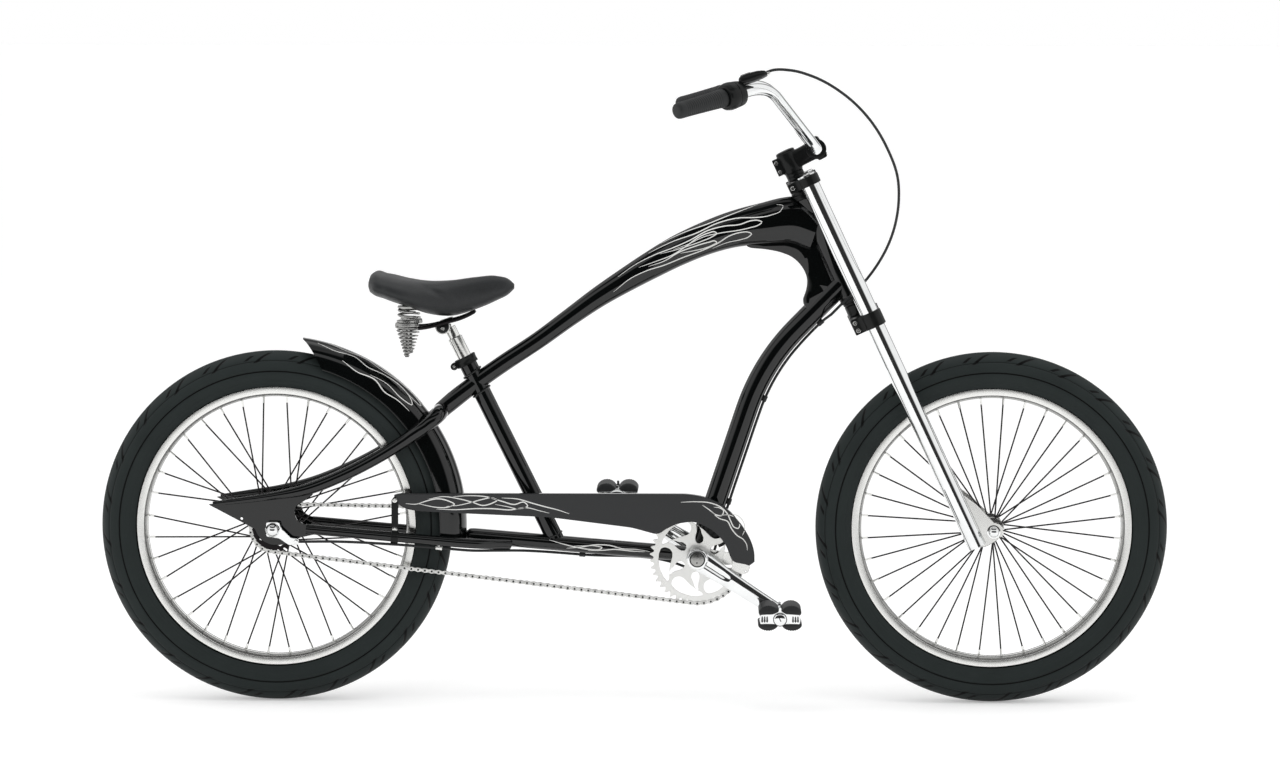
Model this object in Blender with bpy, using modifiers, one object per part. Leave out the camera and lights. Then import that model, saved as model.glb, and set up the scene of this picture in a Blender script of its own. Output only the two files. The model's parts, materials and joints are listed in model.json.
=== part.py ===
"""Chopper bicycle: curved single-tube frame, long straight fork, wide tyres, fender and chain guard.

Workshop coordinates are x forward from the rear hub, y to the rider's left and z up from the axles.
The part's own origin is the rider's place on the saddle, so at() moves a workshop point into it.
All lengths are metres and all angles are degrees.
"""
import math

import bmesh
import bpy
from mathutils import Matrix, Vector

# Fits
GAP = 0.0003
RUN_GAP = 0.0005

# Stance
WHEELBASE = 1.325
RIDER_X = 0.285
RIDER_Z = 0.4545

# Wheels, one size front and rear
TYRE_RADIUS = 0.3255
TYRE_SECTION = 0.038
RIM_SEAT = 0.0105
RIM_HALF_WIDTH = 0.020
RIM_DEPTH = 0.019
RIM_INNER_HALF_WIDTH = 0.008
SPOKE_RADIUS = 0.0011
SPOKE_COUNT = 36
RIM_LIP = 0.010
WHEEL_STEPS = 40
TYRE_POINTS = 10

# Hubs and axles
AXLE_REAR = 0.005
AXLE_FRONT = 0.0048
AXLE_COLLAR_WALL = 0.0055
REAR_AXLE_HALF = 0.086
FRONT_AXLE_HALF = 0.097
NUT_RADIUS = 0.0125
NUT_LENGTH = 0.011
HUB_COLLAR_WALL = 0.006
HUB_FLANGE_HALF = 0.0016
REAR_FLANGE_RADIUS = 0.0335
REAR_FLANGE_Y = 0.0290
REAR_BARREL_RADIUS = 0.0270
REAR_SPOKE_SLANT = 52
FRONT_FLANGE_RADIUS = 0.0225
FRONT_FLANGE_Y = 0.0340
FRONT_BARREL_RADIUS = 0.0130
FRONT_HUB_HALF = 0.052
FRONT_SPOKE_SLANT = 9

# Steering line and fork
HEAD_LEAN = 25.0
FORK_OFFSET = 0.0555
LEG_AHEAD = 0.017
LEG_RADIUS = 0.017
LEG_Y = 0.075
LEG_FOOT = -0.016
LEG_PROUD = 0.0042
FORK_END_THICKNESS = 0.008
FORK_END_BOSS = 0.018
LOWER_CROWN_DROP = 0.066
LOWER_CROWN_HEIGHT = 0.029
UPPER_CROWN_HEIGHT = 0.018
CROWN_WALL = 0.0065
CROWN_BOSS_RADIUS = 0.0225
STEERER_RADIUS = 0.0127
RACE_RADIUS = 0.0205

# Head tube and headset
HEAD_RADIUS = 0.022
HEAD_LOW = 0.500
HEAD_HIGH = 0.699
CUP_RADIUS = 0.0235
LOWER_CUP_HEIGHT = 0.015
UPPER_CUP_HEIGHT = 0.019

# Stem and handlebar
STEM_SPACER = 0.0149
STEM_HEIGHT = 0.038
STEM_RADIUS = 0.0185
STEM_HEAD_WALL = 0.0075
STEM_HEAD_HALF = 0.0225
STEM_NECK = (0.032, 0.026)
STEM_CAP_HEIGHT = 0.005
BAR_RADIUS = 0.0111
BAR_AHEAD = 0.0545
BAR_RISE = 0.002
GRIP_RADIUS = 0.0165
GRIP_LENGTH = 0.108
GRIP_END_CAP = 0.003
BAR_BEND_LOW = 0.035
BAR_BEND_HIGH = 0.045
SHIFTER_RADIUS = 0.025
SHIFTER_END_RADIUS = 0.021
SHIFTER_LENGTH = 0.040
POD_SIZE = (0.040, 0.026, 0.014)
POD_OFFSET = (0.008, 0.010, 0.021)
POD_TILT = 12.0

# Frame tubes
TANK_HALF_WIDTH = 0.024
STAY_TUBE_RADIUS = 0.016
DOWN_TUBE_RADIUS = 0.0205
DOWN_TUBE_BEND = 0.40
SEAT_TUBE_RADIUS = 0.0165
SEAT_TUBE_LEAN = 26.4
SEAT_TUBE_TOP = (0.3485, 0.3145)
LOWER_TUBE_HALF_HEIGHT = 0.0142
LOWER_TUBE_HALF_WIDTH = 0.020
GUSSET_HALF_WIDTH = 0.013
POST_RADIUS = 0.0135
COLLAR_HEIGHT = 0.016
COLLAR_WALL = 0.004
POST_TOP = 0.060
POST_DEPTH = 0.15

# Saddle
SPRING_X = 0.246
SPRING_Y = 0.052
RAIL_RADIUS = 0.0035
CLAMP_PLACE = (0.3165, 0.372)
CLAMP_RADIUS = 0.0125
CLAMP_HALF_WIDTH = 0.026

# Bottom bracket, cranks and chain
BRACKET_X = 0.781
BRACKET_Z = -0.0525
SHELL_RADIUS = 0.0235
SHELL_HALF_WIDTH = 0.034
SPINDLE_RADIUS = 0.0085
CRANK_LENGTH = 0.180
CRANK_DROP = 33.0
CHAIN_LINE = 0.0505
CHAIN_PITCH = 0.0127
RING_TEETH = 42
COG_TEETH = 22
TOOTH_WIDTH = 0.0022
TOOTH_TIP = 0.0026
TOOTH_ROOT = 0.0040
CHAIN_HALF_HEIGHT = 0.0042
CHAIN_HALF_WIDTH = 0.0038
CHAIN_SLOT_HALF = 0.0020
CRANK_FACE = 0.0665
CRANK_THICKNESS = 0.012
CRANK_WIDTH = 0.024
CRANK_BOSS_RADIUS = 0.0185
CRANK_EYE_RADIUS = 0.0145

# Pedals
PEDAL_AXLE = 0.0045
PEDAL_BARREL_RADIUS = 0.0105
PEDAL_LENGTH = 0.080
PEDAL_WIDTH = 0.094
PEDAL_CLEARANCE = 0.0055
PEDAL_PLATE = 0.003
PEDAL_PLATE_HEIGHT = 0.026
TREAD_HEIGHT = 0.046
TREAD_BEVEL = 0.009

# Rear stays and fender
STAY_RADIUS = 0.0120
STAY_Y = 0.0635
STAY_BEND = 0.020
STAY_BRIDGE_ANGLE = 34.0
STAY_BRIDGE_HALF = 0.036
CHAINSTAY_RADIUS = 0.0092
CHAINSTAY_Y = 0.0665
CHAINSTAY_BEND = 0.05
TAIL_INNER = 0.0625
TAIL_THICKNESS = 0.006
FENDER_CLEARANCE = 0.0275
FENDER_HALF_WIDTH = 0.0450
FENDER_WALL = 0.0015
FENDER_DEPTH = 0.053
FENDER_START = -4.0
FENDER_END = 81.0
GUARD_Y = 0.0600
GUARD_WALL = 0.0016
GUARD_FLANGE = 0.0122
GUARD_FOOT = (0.878, -0.0575)
GUARD_FOOT_RADIUS = 0.0040
GUARD_TAB = 0.0025
STRAP_THICKNESS = 0.0030

# Cable
CABLE_RADIUS = 0.0025
GUIDE_RADIUS = 0.0035

# Worked out from the sizes above
RIM_RADIUS = TYRE_RADIUS - 2 * TYRE_SECTION + RIM_SEAT
FENDER_RADIUS = TYRE_RADIUS + FENDER_CLEARANCE
PEDAL_START = CRANK_FACE + CRANK_THICKNESS + PEDAL_CLEARANCE
REAR_HUB_HALF = CHAIN_LINE - TOOTH_WIDTH / 2 - RUN_GAP
LOWER_CROWN_LOW = HEAD_LOW - LOWER_CROWN_DROP
UPPER_CROWN_LOW = HEAD_HIGH + GAP + UPPER_CUP_HEIGHT + RUN_GAP
UPPER_CROWN_TOP = UPPER_CROWN_LOW + UPPER_CROWN_HEIGHT
LEG_TOP = UPPER_CROWN_TOP + LEG_PROUD
STEM_LOW = UPPER_CROWN_TOP + STEM_SPACER
STEM_HIGH = STEM_LOW + STEM_HEIGHT
BAR_UP = (STEM_LOW + STEM_HIGH) / 2 + BAR_RISE
PITCH_FRONT = CHAIN_PITCH / (2 * math.sin(math.pi / RING_TEETH))
PITCH_REAR = CHAIN_PITCH / (2 * math.sin(math.pi / COG_TEETH))
AHEAD = Vector((math.cos(math.radians(HEAD_LEAN)), 0, math.sin(math.radians(HEAD_LEAN))))
UP = Vector((-math.sin(math.radians(HEAD_LEAN)), 0, math.cos(math.radians(HEAD_LEAN))))


def at(x, z, y=0.0):
    """A workshop point in the part's own frame."""
    return Vector((x - RIDER_X, y, z - RIDER_Z))


REAR_HUB = at(0, 0)
FRONT_HUB = at(WHEELBASE, 0)
BRACKET = at(BRACKET_X, BRACKET_Z)


def by_fender(angle, out):
    """The workshop (x, z) of a point outside the fender, at an angle from the rear hub."""
    reach = FENDER_RADIUS + out
    return reach * math.cos(math.radians(angle)), reach * math.sin(math.radians(angle))


STAY_BRIDGE = by_fender(STAY_BRIDGE_ANGLE, STAY_RADIUS + GAP)


def steer(ahead, up, y=0.0):
    """A point given along and ahead of the steering axis, whose foot is level with the front axle."""
    return FRONT_HUB + AHEAD * (ahead - FORK_OFFSET) + UP * up + Vector((0, y, 0))


def pedal_centre(side):
    """The pedal axle's point in the crank's middle plane; the left crank points the other way."""
    turn = math.radians(CRANK_DROP)
    swing = CRANK_LENGTH if side < 0 else -CRANK_LENGTH
    return BRACKET + Vector((swing * math.cos(turn), 0, -swing * math.sin(turn)))


def clear_scene():
    for item in list(bpy.data.objects):
        bpy.data.objects.remove(item, do_unlink=True)


def make_collection(name):
    group = bpy.data.collections.new(name)
    bpy.context.scene.collection.children.link(group)
    return group


clear_scene()
PARTS = make_collection("chopper_bicycle")
CUTTERS = make_collection("cutters")
PAINT, CHROME, SILVER, ANODISED, RUBBER, TYRE, LEATHER, STEEL = (
    "gloss_black_paint", "chrome", "polished_alloy", "black_alloy", "black_rubber", "tyre_rubber",
    "saddle_cover", "dark_steel")
FINISHES = {
    PAINT: ((0.012, 0.013, 0.014), 0.12, 0.0),
    CHROME: ((0.82, 0.83, 0.84), 0.06, 1.0),
    SILVER: ((0.78, 0.78, 0.77), 0.22, 1.0),
    ANODISED: ((0.015, 0.015, 0.016), 0.35, 0.0),
    RUBBER: ((0.020, 0.020, 0.021), 0.60, 0.0),
    TYRE: ((0.022, 0.025, 0.025), 0.55, 0.0),
    LEATHER: ((0.018, 0.018, 0.019), 0.50, 0.0),
    STEEL: ((0.10, 0.10, 0.10), 0.35, 1.0),
}


def material(name):
    """One Principled material per object, made from the finish's colour, roughness and metal."""
    color, rough, metal = FINISHES[name]
    made = bpy.data.materials.new(name)
    made.use_nodes = True
    shader = made.node_tree.nodes["Principled BSDF"]
    shader.inputs["Base Color"].default_value = (*color, 1)
    shader.inputs["Roughness"].default_value = rough
    shader.inputs["Metallic"].default_value = metal
    return made


class Body:
    """An empty on a joint's axis; what it carries is parented to it where it stands."""

    def __init__(self, name, place, tilt=0.0):
        self.empty = bpy.data.objects.new(name, None)
        self.empty.location = place
        self.empty.rotation_euler = (0, -math.radians(tilt), 0)
        PARTS.objects.link(self.empty)
        turn = Matrix.Rotation(-math.radians(tilt), 4, "Y")
        self.matrix = Matrix.Translation(place) @ turn

    def take(self, item):
        item.parent = self.empty
        item.matrix_parent_inverse = self.matrix.inverted()


FRAME = Body("frame_origin", Vector((0, 0, 0)))
STEERING = Body("steering_axis", steer(0, 0), HEAD_LEAN)
FRONT_WHEEL = Body("front_wheel_axis", FRONT_HUB)
REAR_WHEEL = Body("rear_wheel_axis", REAR_HUB)
COG = Body("cog_axis", REAR_HUB)
CRANKS = Body("crank_axis", BRACKET)
SIDES = ((-1, "right"), (1, "left"))
PEDALS = {side: Body(f"pedal_axis_{word}", pedal_centre(side)) for side, word in SIDES}


def keep(item, name, finish, body):
    """Name a finished piece, give it its material and its body, and shade it."""
    item.name = name
    item.data.name = name
    item.data.materials.clear()
    item.data.materials.append(material(finish))
    for group in list(item.users_collection):
        group.objects.unlink(item)
    PARTS.objects.link(item)
    body.take(item)
    if item.type == "MESH":
        item.data.shade_smooth()
        item.data.set_sharp_from_angle(angle=math.radians(35))
    return item


def as_cutter(item):
    for group in list(item.users_collection):
        group.objects.unlink(item)
    CUTTERS.objects.link(item)
    item.hide_render = True
    item.display_type = "WIRE"
    return item


def mesh_object(name, bm):
    data = bpy.data.meshes.new(name)
    bm.to_mesh(data)
    bm.free()
    item = bpy.data.objects.new(name, data)
    bpy.context.scene.collection.objects.link(item)
    return item


def lay_along(item, start, end):
    """Stand a shape that is built on Z between two points."""
    item.location = (start + end) / 2
    item.rotation_mode = "QUATERNION"
    item.rotation_quaternion = (end - start).to_track_quat("Z", "Y")
    return item


def rod(start, end, radius, sides=16, end_radius=None):
    bm = bmesh.new()
    top = radius if end_radius is None else end_radius
    bmesh.ops.create_cone(bm, cap_ends=True, segments=sides, radius1=radius, radius2=top,
                          depth=(end - start).length)
    return lay_along(mesh_object("rod", bm), start, end)


def cross_rod(centre, inner, outer, radius, sides=24):
    """A rod across the bicycle between two y values."""
    low, high = sorted((inner, outer))
    return rod(centre + Vector((0, low, 0)), centre + Vector((0, high, 0)), radius, sides)


def block(centre, size, tilt=0.0):
    """A box turned about Y; a positive tilt leans it back like the steering axis."""
    bm = bmesh.new()
    bmesh.ops.create_cube(bm, size=1.0)
    bmesh.ops.scale(bm, vec=size, verts=bm.verts)
    item = mesh_object("block", bm)
    item.location = centre
    item.rotation_euler = (0, -math.radians(tilt), 0)
    return item


def beam(start, end, section):
    """A bar between two points in the side view; its section is the width across and the height."""
    width, height = section
    run = end - start
    lean = math.degrees(math.atan2(run.z, run.x))
    return block((start + end) / 2, (run.length, width, height), lean)


def turned(profile, place, direction, steps=32, closed=False):
    """Turn an (r, h) profile, listed down its outer side, about an axis through place."""
    bm = bmesh.new()
    verts = [bm.verts.new((r, 0, h)) for r, h in profile]
    for first, second in zip(verts, verts[1:]):
        bm.edges.new((first, second))
    if closed:
        bm.edges.new((verts[-1], verts[0]))
    item = mesh_object("turned", bm)
    screw = item.modifiers.new("turn", "SCREW")
    screw.steps = steps
    screw.render_steps = steps
    screw.use_merge_vertices = True
    screw.merge_threshold = 0.00005
    item.location = place
    item.rotation_mode = "QUATERNION"
    item.rotation_quaternion = Vector(direction).to_track_quat("Z", "Y")
    return item


def wire(points, radius, resolution=4, radii=None, cyclic=False):
    """A tube along a list of points; radii scales its radius point by point."""
    data = bpy.data.curves.new("wire", "CURVE")
    data.dimensions = "3D"
    data.bevel_depth = radius
    data.bevel_resolution = resolution
    data.use_fill_caps = not cyclic
    spline = data.splines.new("POLY")
    spline.points.add(len(points) - 1)
    spline.use_cyclic_u = cyclic
    for index, point in enumerate(points):
        spline.points[index].co = (*point, 1)
        if radii:
            spline.points[index].radius = radii[index]
    item = bpy.data.objects.new("wire", data)
    bpy.context.scene.collection.objects.link(item)
    return item


def plate(outline, low_y, high_y):
    """A flat outline of (x, z) workshop points, extruded between two y values."""
    data = bpy.data.curves.new("plate", "CURVE")
    data.dimensions = "2D"
    data.fill_mode = "BOTH"
    data.extrude = abs(high_y - low_y) / 2
    spline = data.splines.new("POLY")
    spline.points.add(len(outline) - 1)
    spline.use_cyclic_u = True
    for index, (x, z) in enumerate(outline):
        spline.points[index].co = (x - RIDER_X, z - RIDER_Z, 0, 1)
    item = bpy.data.objects.new("plate", data)
    bpy.context.scene.collection.objects.link(item)
    item.rotation_euler = (math.pi / 2, 0, 0)
    item.location = (0, (low_y + high_y) / 2, 0)
    return item


def as_mesh(item):
    """The welded mesh of a curve or of a shape with modifiers, in the same place."""
    bpy.context.view_layer.update()
    graph = bpy.context.evaluated_depsgraph_get()
    data = bpy.data.meshes.new_from_object(item.evaluated_get(graph))
    place = item.matrix_world.copy()
    bm = bmesh.new()
    bm.from_mesh(data)
    bmesh.ops.remove_doubles(bm, verts=bm.verts, dist=0.00001)
    bmesh.ops.dissolve_limit(bm, angle_limit=0.0005, verts=bm.verts, edges=bm.edges)
    bmesh.ops.recalc_face_normals(bm, faces=bm.faces)
    bm.to_mesh(data)
    bm.free()
    made = bpy.data.objects.new(item.name, data)
    bpy.context.scene.collection.objects.link(made)
    made.matrix_world = place
    bpy.data.objects.remove(item, do_unlink=True)
    return made


def combine(item, others, operation):
    for other in others:
        if other.type != "MESH":
            other = as_mesh(other)
        modifier = item.modifiers.new(operation.lower(), "BOOLEAN")
        modifier.operation = operation
        modifier.solver = "EXACT"
        modifier.object = as_cutter(other)
    return item


def cut(item, cutters):
    return combine(item, cutters, "DIFFERENCE")


def fuse(item, others):
    return combine(item, others, "UNION")


def rounded(points, radii, step=8.0):
    """A path with each inner corner replaced by an arc of the given radius."""
    path = [points[0]]
    for before, corner, after, radius in zip(points, points[1:], points[2:], radii):
        back = (before - corner).normalized()
        on = (after - corner).normalized()
        half = back.angle(on) / 2
        if radius <= 0 or half > math.pi / 2 - 0.01:
            path.append(corner)
            continue
        reach = radius / math.tan(half)
        centre = corner + (back + on).normalized() * (radius / math.sin(half))
        start = corner + back * reach - centre
        turn = math.pi - 2 * half
        axis = start.cross(corner + on * reach - centre).normalized()
        count = max(2, math.ceil(math.degrees(turn) / step))
        for index in range(count + 1):
            path.append(centre + Matrix.Rotation(turn * index / count, 3, axis) @ start)
    return path + [points[-1]]


def smooth(points, per_span=6):
    """A Catmull-Rom curve through the points."""
    path = []
    for index in range(len(points) - 1):
        before = points[max(index - 1, 0)]
        start, end = points[index], points[index + 1]
        after = points[min(index + 2, len(points) - 1)]
        for count in range(per_span):
            t = count / per_span
            square = 2 * before - 5 * start + 4 * end - after
            cube = 3 * start - before - 3 * end + after
            path.append(0.5 * (2 * start + (end - before) * t + square * t * t + cube * t ** 3))
    return path + [points[-1]]


def loft(rings):
    """A closed solid through rings of equally many points, with flat ends."""
    bm = bmesh.new()
    rows = [[bm.verts.new(point) for point in ring] for ring in rings]
    count = len(rows[0])
    for first, second in zip(rows, rows[1:]):
        for index in range(count):
            after = (index + 1) % count
            bm.faces.new((first[index], first[after], second[after], second[index]))
    bm.faces.new(rows[0])
    bm.faces.new(reversed(rows[-1]))
    bmesh.ops.recalc_face_normals(bm, faces=bm.faces)
    return mesh_object("loft", bm)


def oval_ring(centre, along, half_height, half_width, power=2.0, count=18):
    """Points of a rounded section square to the side-view direction along."""
    tall = Vector((0, 1, 0)).cross(along).normalized()
    if tall.z < 0:
        tall = -tall
    ring = []
    for index in range(count):
        angle = 2 * math.pi * (index + 0.5) / count
        c, s = math.cos(angle), math.sin(angle)
        across = math.copysign(abs(c) ** (2 / power), c) * half_width
        high = math.copysign(abs(s) ** (2 / power), s) * half_height
        ring.append(centre + Vector((0, across, 0)) + tall * high)
    return ring


def oval_tube(sections, power=2.0, count=18, grow=0.0):
    """A lofted tube through (x, z, half height, half width) sections in the middle plane."""
    centres = [at(x, z) for x, z, _, _ in sections]
    rings = []
    for index, (_, _, half_height, half_width) in enumerate(sections):
        along = centres[min(index + 1, len(centres) - 1)] - centres[max(index - 1, 0)]
        rings.append(oval_ring(centres[index], along, half_height + grow, half_width + grow, power, count))
    return loft(rings)


# Sections of the tank and top tube, from the head tube back: x, z, half height, half width
TANK_SECTIONS = (
    (1.000, 0.5565, 0.046, TANK_HALF_WIDTH),
    (0.966, 0.5675, 0.0445, TANK_HALF_WIDTH),
    (0.900, 0.5615, 0.0385, TANK_HALF_WIDTH),
    (0.843, 0.5505, 0.0335, TANK_HALF_WIDTH),
    (0.795, 0.5345, 0.0305, 0.0235),
    (0.745, 0.5125, 0.0285, 0.0230),
    (0.692, 0.4835, 0.0255, 0.0220),
    (0.648, 0.4575, 0.0225, 0.0205),
    (0.600, 0.4275, 0.0195, 0.0185),
    (0.545, 0.3885, 0.0170, 0.0165),
    (0.489, 0.3475, 0.0160, STAY_TUBE_RADIUS),
    (0.420, 0.3015, 0.0160, STAY_TUBE_RADIUS),
    (0.372, 0.2675, 0.0160, STAY_TUBE_RADIUS),
)
TAIL_END = (STAY_BRIDGE[0] + 0.0032, STAY_BRIDGE[1] + 0.0112)
TOP_TUBE_TAIL = (TANK_SECTIONS[-1][:2], TAIL_END)


def seat_line(distance):
    """A point down the seat tube's axis from its top."""
    turn = math.radians(SEAT_TUBE_LEAN)
    return at(SEAT_TUBE_TOP[0] + distance * math.sin(turn), SEAT_TUBE_TOP[1] - distance * math.cos(turn))


LOWER_TUBE_LINE = ((FENDER_RADIUS + GAP, -0.018), (BRACKET_X, BRACKET_Z - 0.001))


def seat_foot():
    """How far down the seat tube its axis meets the lower tube's."""
    (x0, z0), (x1, z1) = LOWER_TUBE_LINE
    slope = (z1 - z0) / (x1 - x0)
    turn = math.radians(SEAT_TUBE_LEAN)
    drop = SEAT_TUBE_TOP[1] - z0 - slope * (SEAT_TUBE_TOP[0] - x0)
    return drop / (math.cos(turn) + slope * math.sin(turn))


DOWN_TUBE_POINTS = ((1.0505, 0.457), (0.9003, 0.3042), (BRACKET_X, BRACKET_Z))


def down_tube_shape(grow=0.0):
    corners = [at(x, z) for x, z in DOWN_TUBE_POINTS]
    return as_mesh(wire(rounded(corners, (DOWN_TUBE_BEND,), 4.0), DOWN_TUBE_RADIUS + grow, 6))


def head_cutter():
    return rod(steer(0, HEAD_LOW - 0.05), steer(0, HEAD_HIGH + 0.05), HEAD_RADIUS + GAP, 32)


def seat_tube_cutter():
    return rod(seat_line(-0.05), seat_line(0.30), SEAT_TUBE_RADIUS + GAP, 24)


def shell_cutter():
    return cross_rod(BRACKET, -0.06, 0.06, SHELL_RADIUS + GAP, 32)


def lower_tube_shape(grow=0.0):
    (x0, z0), (x1, z1) = LOWER_TUBE_LINE
    middle = ((x0 + x1) / 2, (z0 + z1) / 2)
    return oval_tube([(x, z, LOWER_TUBE_HALF_HEIGHT + grow, LOWER_TUBE_HALF_WIDTH + grow)
                      for x, z in ((x0, z0), middle, (x1, z1))], 2.4)


def make_head():
    head = rod(steer(0, HEAD_LOW), steer(0, HEAD_HIGH), HEAD_RADIUS, 32)
    bore = rod(steer(0, HEAD_LOW - 0.01), steer(0, HEAD_HIGH + 0.01), STEERER_RADIUS + 0.002, 24)
    keep(cut(head, [bore]), "head_tube", PAINT, FRAME)
    cups = (("headset_lower", HEAD_LOW - GAP - LOWER_CUP_HEIGHT, HEAD_LOW - GAP),
            ("headset_upper", HEAD_HIGH + GAP, HEAD_HIGH + GAP + UPPER_CUP_HEIGHT))
    for name, low, high in cups:
        cup = rod(steer(0, low), steer(0, high), CUP_RADIUS, 32)
        hole = rod(steer(0, low - 0.01), steer(0, high + 0.01), STEERER_RADIUS + RUN_GAP, 24)
        keep(cut(cup, [hole]), name, ANODISED, FRAME)


def make_main_tubes():
    tank = oval_tube(TANK_SECTIONS, 2.3)
    cup = rod(steer(0, HEAD_HIGH - 0.02), steer(0, HEAD_HIGH + 0.05), CUP_RADIUS + GAP, 24)
    keep(cut(tank, [head_cutter(), cup, seat_tube_cutter()]), "top_tube", PAINT, FRAME)
    down = fuse(down_tube_shape(), guides(down_tube_guides()))
    cutters = [head_cutter(), shell_cutter(), lower_tube_shape(GAP), cable_run(GAP)]
    keep(cut(down, cutters), "down_tube", PAINT, FRAME)
    lower = fuse(lower_tube_shape(), guides(lower_tube_guides()))
    keep(cut(lower, [shell_cutter(), cable_run(GAP)]), "lower_tube", PAINT, FRAME)
    seat = rod(seat_line(0), seat_line(seat_foot()), SEAT_TUBE_RADIUS, 24)
    bore = rod(seat_line(-0.01), seat_line(POST_DEPTH + 0.05), POST_RADIUS + GAP, 24)
    keep(cut(seat, [bore, lower_tube_shape(GAP)]), "seat_tube", PAINT, FRAME)
    tail = rod(at(*TOP_TUBE_TAIL[0]), at(*TOP_TUBE_TAIL[1]), STAY_TUBE_RADIUS, 20)
    bridge = cross_rod(at(*STAY_BRIDGE), -STAY_BRIDGE_HALF, STAY_BRIDGE_HALF, STAY_RADIUS, 20)
    keep(cut(fuse(tail, [bridge]), [seat_tube_cutter()]), "top_tube_tail", PAINT, FRAME)


def make_gusset():
    """The web that fills the corner between the tank, the head tube and the down tube."""
    outline = [(0.862, 0.5325), (0.872, 0.5175), (0.905, 0.515), (0.930, 0.5105), (0.952, 0.5025),
               (0.966, 0.4915), (0.977, 0.4765), (0.983, 0.4595), (0.981, 0.4395), (0.973, 0.4195),
               (0.985, 0.3945), (1.057, 0.4395), (1.012, 0.5365)]
    web = as_mesh(plate(outline, -GUSSET_HALF_WIDTH, GUSSET_HALF_WIDTH))
    tank = oval_tube(TANK_SECTIONS, 2.3, grow=GAP)
    keep(cut(web, [tank, down_tube_shape(GAP), head_cutter()]), "head_gusset", PAINT, FRAME)


def make_bracket():
    shell = cross_rod(BRACKET, -SHELL_HALF_WIDTH, SHELL_HALF_WIDTH, SHELL_RADIUS, 32)
    bore = cross_rod(BRACKET, -0.06, 0.06, SPINDLE_RADIUS + RUN_GAP, 24)
    keep(cut(shell, [bore]), "bracket_shell", PAINT, FRAME)


# Side view of a seat stay from its bridge to the tail tip: x, z, y, share of its full radius
STAY_ROUTE = (
    (0.291, 0.196, STAY_Y, 1.00),
    (0.245, 0.1655, STAY_Y, 1.00),
    (0.180, 0.126, STAY_Y, 0.97),
    (0.120, 0.096, 0.0645, 0.95),
    (0.060, 0.073, 0.0650, 0.90),
    (0.000, 0.061, 0.0655, 0.62),
    (-0.060, 0.0525, 0.0655, 0.50),
    (-0.112, 0.046, 0.0655, 0.36),
)
# Outline of a tail plate below the stay, from the tip round the axle to the inner notch
TAIL_OUTLINE = (
    (-0.121, 0.0455), (-0.036, 0.0005), (-0.030, -0.0125), (-0.020, -0.0235), (-0.006, -0.030),
    (0.010, -0.030), (0.025, -0.027), (0.050, -0.0155), (0.078, -0.0095), (0.078, 0.0065),
    (0.056, 0.009), (0.043, 0.0165), (0.038, 0.0295), (0.042, 0.0425), (0.060, 0.0545),
    (0.074, 0.0645), (0.060, 0.0735), (0.000, 0.0595), (-0.060, 0.0505),
)
# A chainstay from its tail plate to its bend, and its joint on the lower tube: x, z
CHAINSTAY_LINE = ((0.079, -0.0017), (0.372, -0.027))
CHAINSTAY_JOINT = (0.432, -0.0325)


def make_stays():
    for side, word in SIDES:
        corner = at(*STAY_BRIDGE, side * STAY_Y)
        inner = at(*STAY_BRIDGE, side * (STAY_BRIDGE_HALF + GAP))
        second = at(*STAY_ROUTE[1][:2], side * STAY_Y)
        start = rounded([inner, corner, second], (STAY_BEND,), 15.0)
        run = smooth([at(x, z, side * y) for x, z, y, _ in STAY_ROUTE[1:]], 2)
        shares = smooth([Vector((share, 0, 0)) for _, _, _, share in STAY_ROUTE[1:]], 2)
        radii = [1.0] * (len(start) - 1) + [share.x for share in shares]
        stay = as_mesh(wire(start[:-1] + run, STAY_RADIUS, 3, radii))
        inner_face = side * TAIL_INNER
        outer_face = side * (TAIL_INNER + TAIL_THICKNESS)
        tail = as_mesh(plate(TAIL_OUTLINE, min(inner_face, outer_face), max(inner_face, outer_face)))
        hole = cross_rod(REAR_HUB, side * 0.05, side * 0.09, AXLE_REAR + GAP, 20)
        keep(cut(fuse(stay, [tail]), [hole]), f"seatstay_{word}", PAINT, FRAME)
        start, end = [at(*place, side * CHAINSTAY_Y) for place in CHAINSTAY_LINE]
        joint = at(*CHAINSTAY_JOINT, side * (LOWER_TUBE_HALF_WIDTH + 0.004))
        stay = as_mesh(wire(rounded([start, end, joint], (CHAINSTAY_BEND,), 10.0), CHAINSTAY_RADIUS, 3))
        if side < 0:
            cut(fuse(stay, guides(chainstay_guides())), [cable_run(GAP)])
        keep(cut(stay, [lower_tube_shape(GAP)]), f"chainstay_{word}", PAINT, FRAME)

def make_seat_post():
    post = rod(seat_line(POST_DEPTH), seat_line(-POST_TOP), POST_RADIUS, 18)
    keep(post, "seat_post", SILVER, FRAME)
    collar = rod(seat_line(GAP), seat_line(COLLAR_HEIGHT), SEAT_TUBE_RADIUS + COLLAR_WALL, 18)
    ear_place = seat_line(COLLAR_HEIGHT / 2) + Vector((-SEAT_TUBE_RADIUS - COLLAR_WALL, 0, -0.002))
    ear = block(ear_place, (0.014, 0.018, 0.011), SEAT_TUBE_LEAN)
    hole = rod(seat_line(-0.01), seat_line(0.03), SEAT_TUBE_RADIUS + GAP, 18)
    keep(cut(fuse(collar, [ear]), [hole]), "seat_collar", ANODISED, FRAME)


# Saddle sections from the rear to the nose: x, top z, bottom z, half width
SADDLE_SECTIONS = (
    (0.177, 0.4595, 0.4395, 0.060),
    (0.184, 0.4685, 0.4325, 0.088),
    (0.205, 0.4675, 0.4235, 0.112),
    (0.245, 0.459, 0.4115, 0.113),
    (0.285, 0.4545, 0.3945, 0.085),
    (0.325, 0.456, 0.3905, 0.055),
    (0.370, 0.462, 0.4025, 0.036),
    (0.410, 0.464, 0.4195, 0.028),
    (0.432, 0.4575, 0.4315, 0.019),
    (0.441, 0.4495, 0.4405, 0.009),
)


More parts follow.
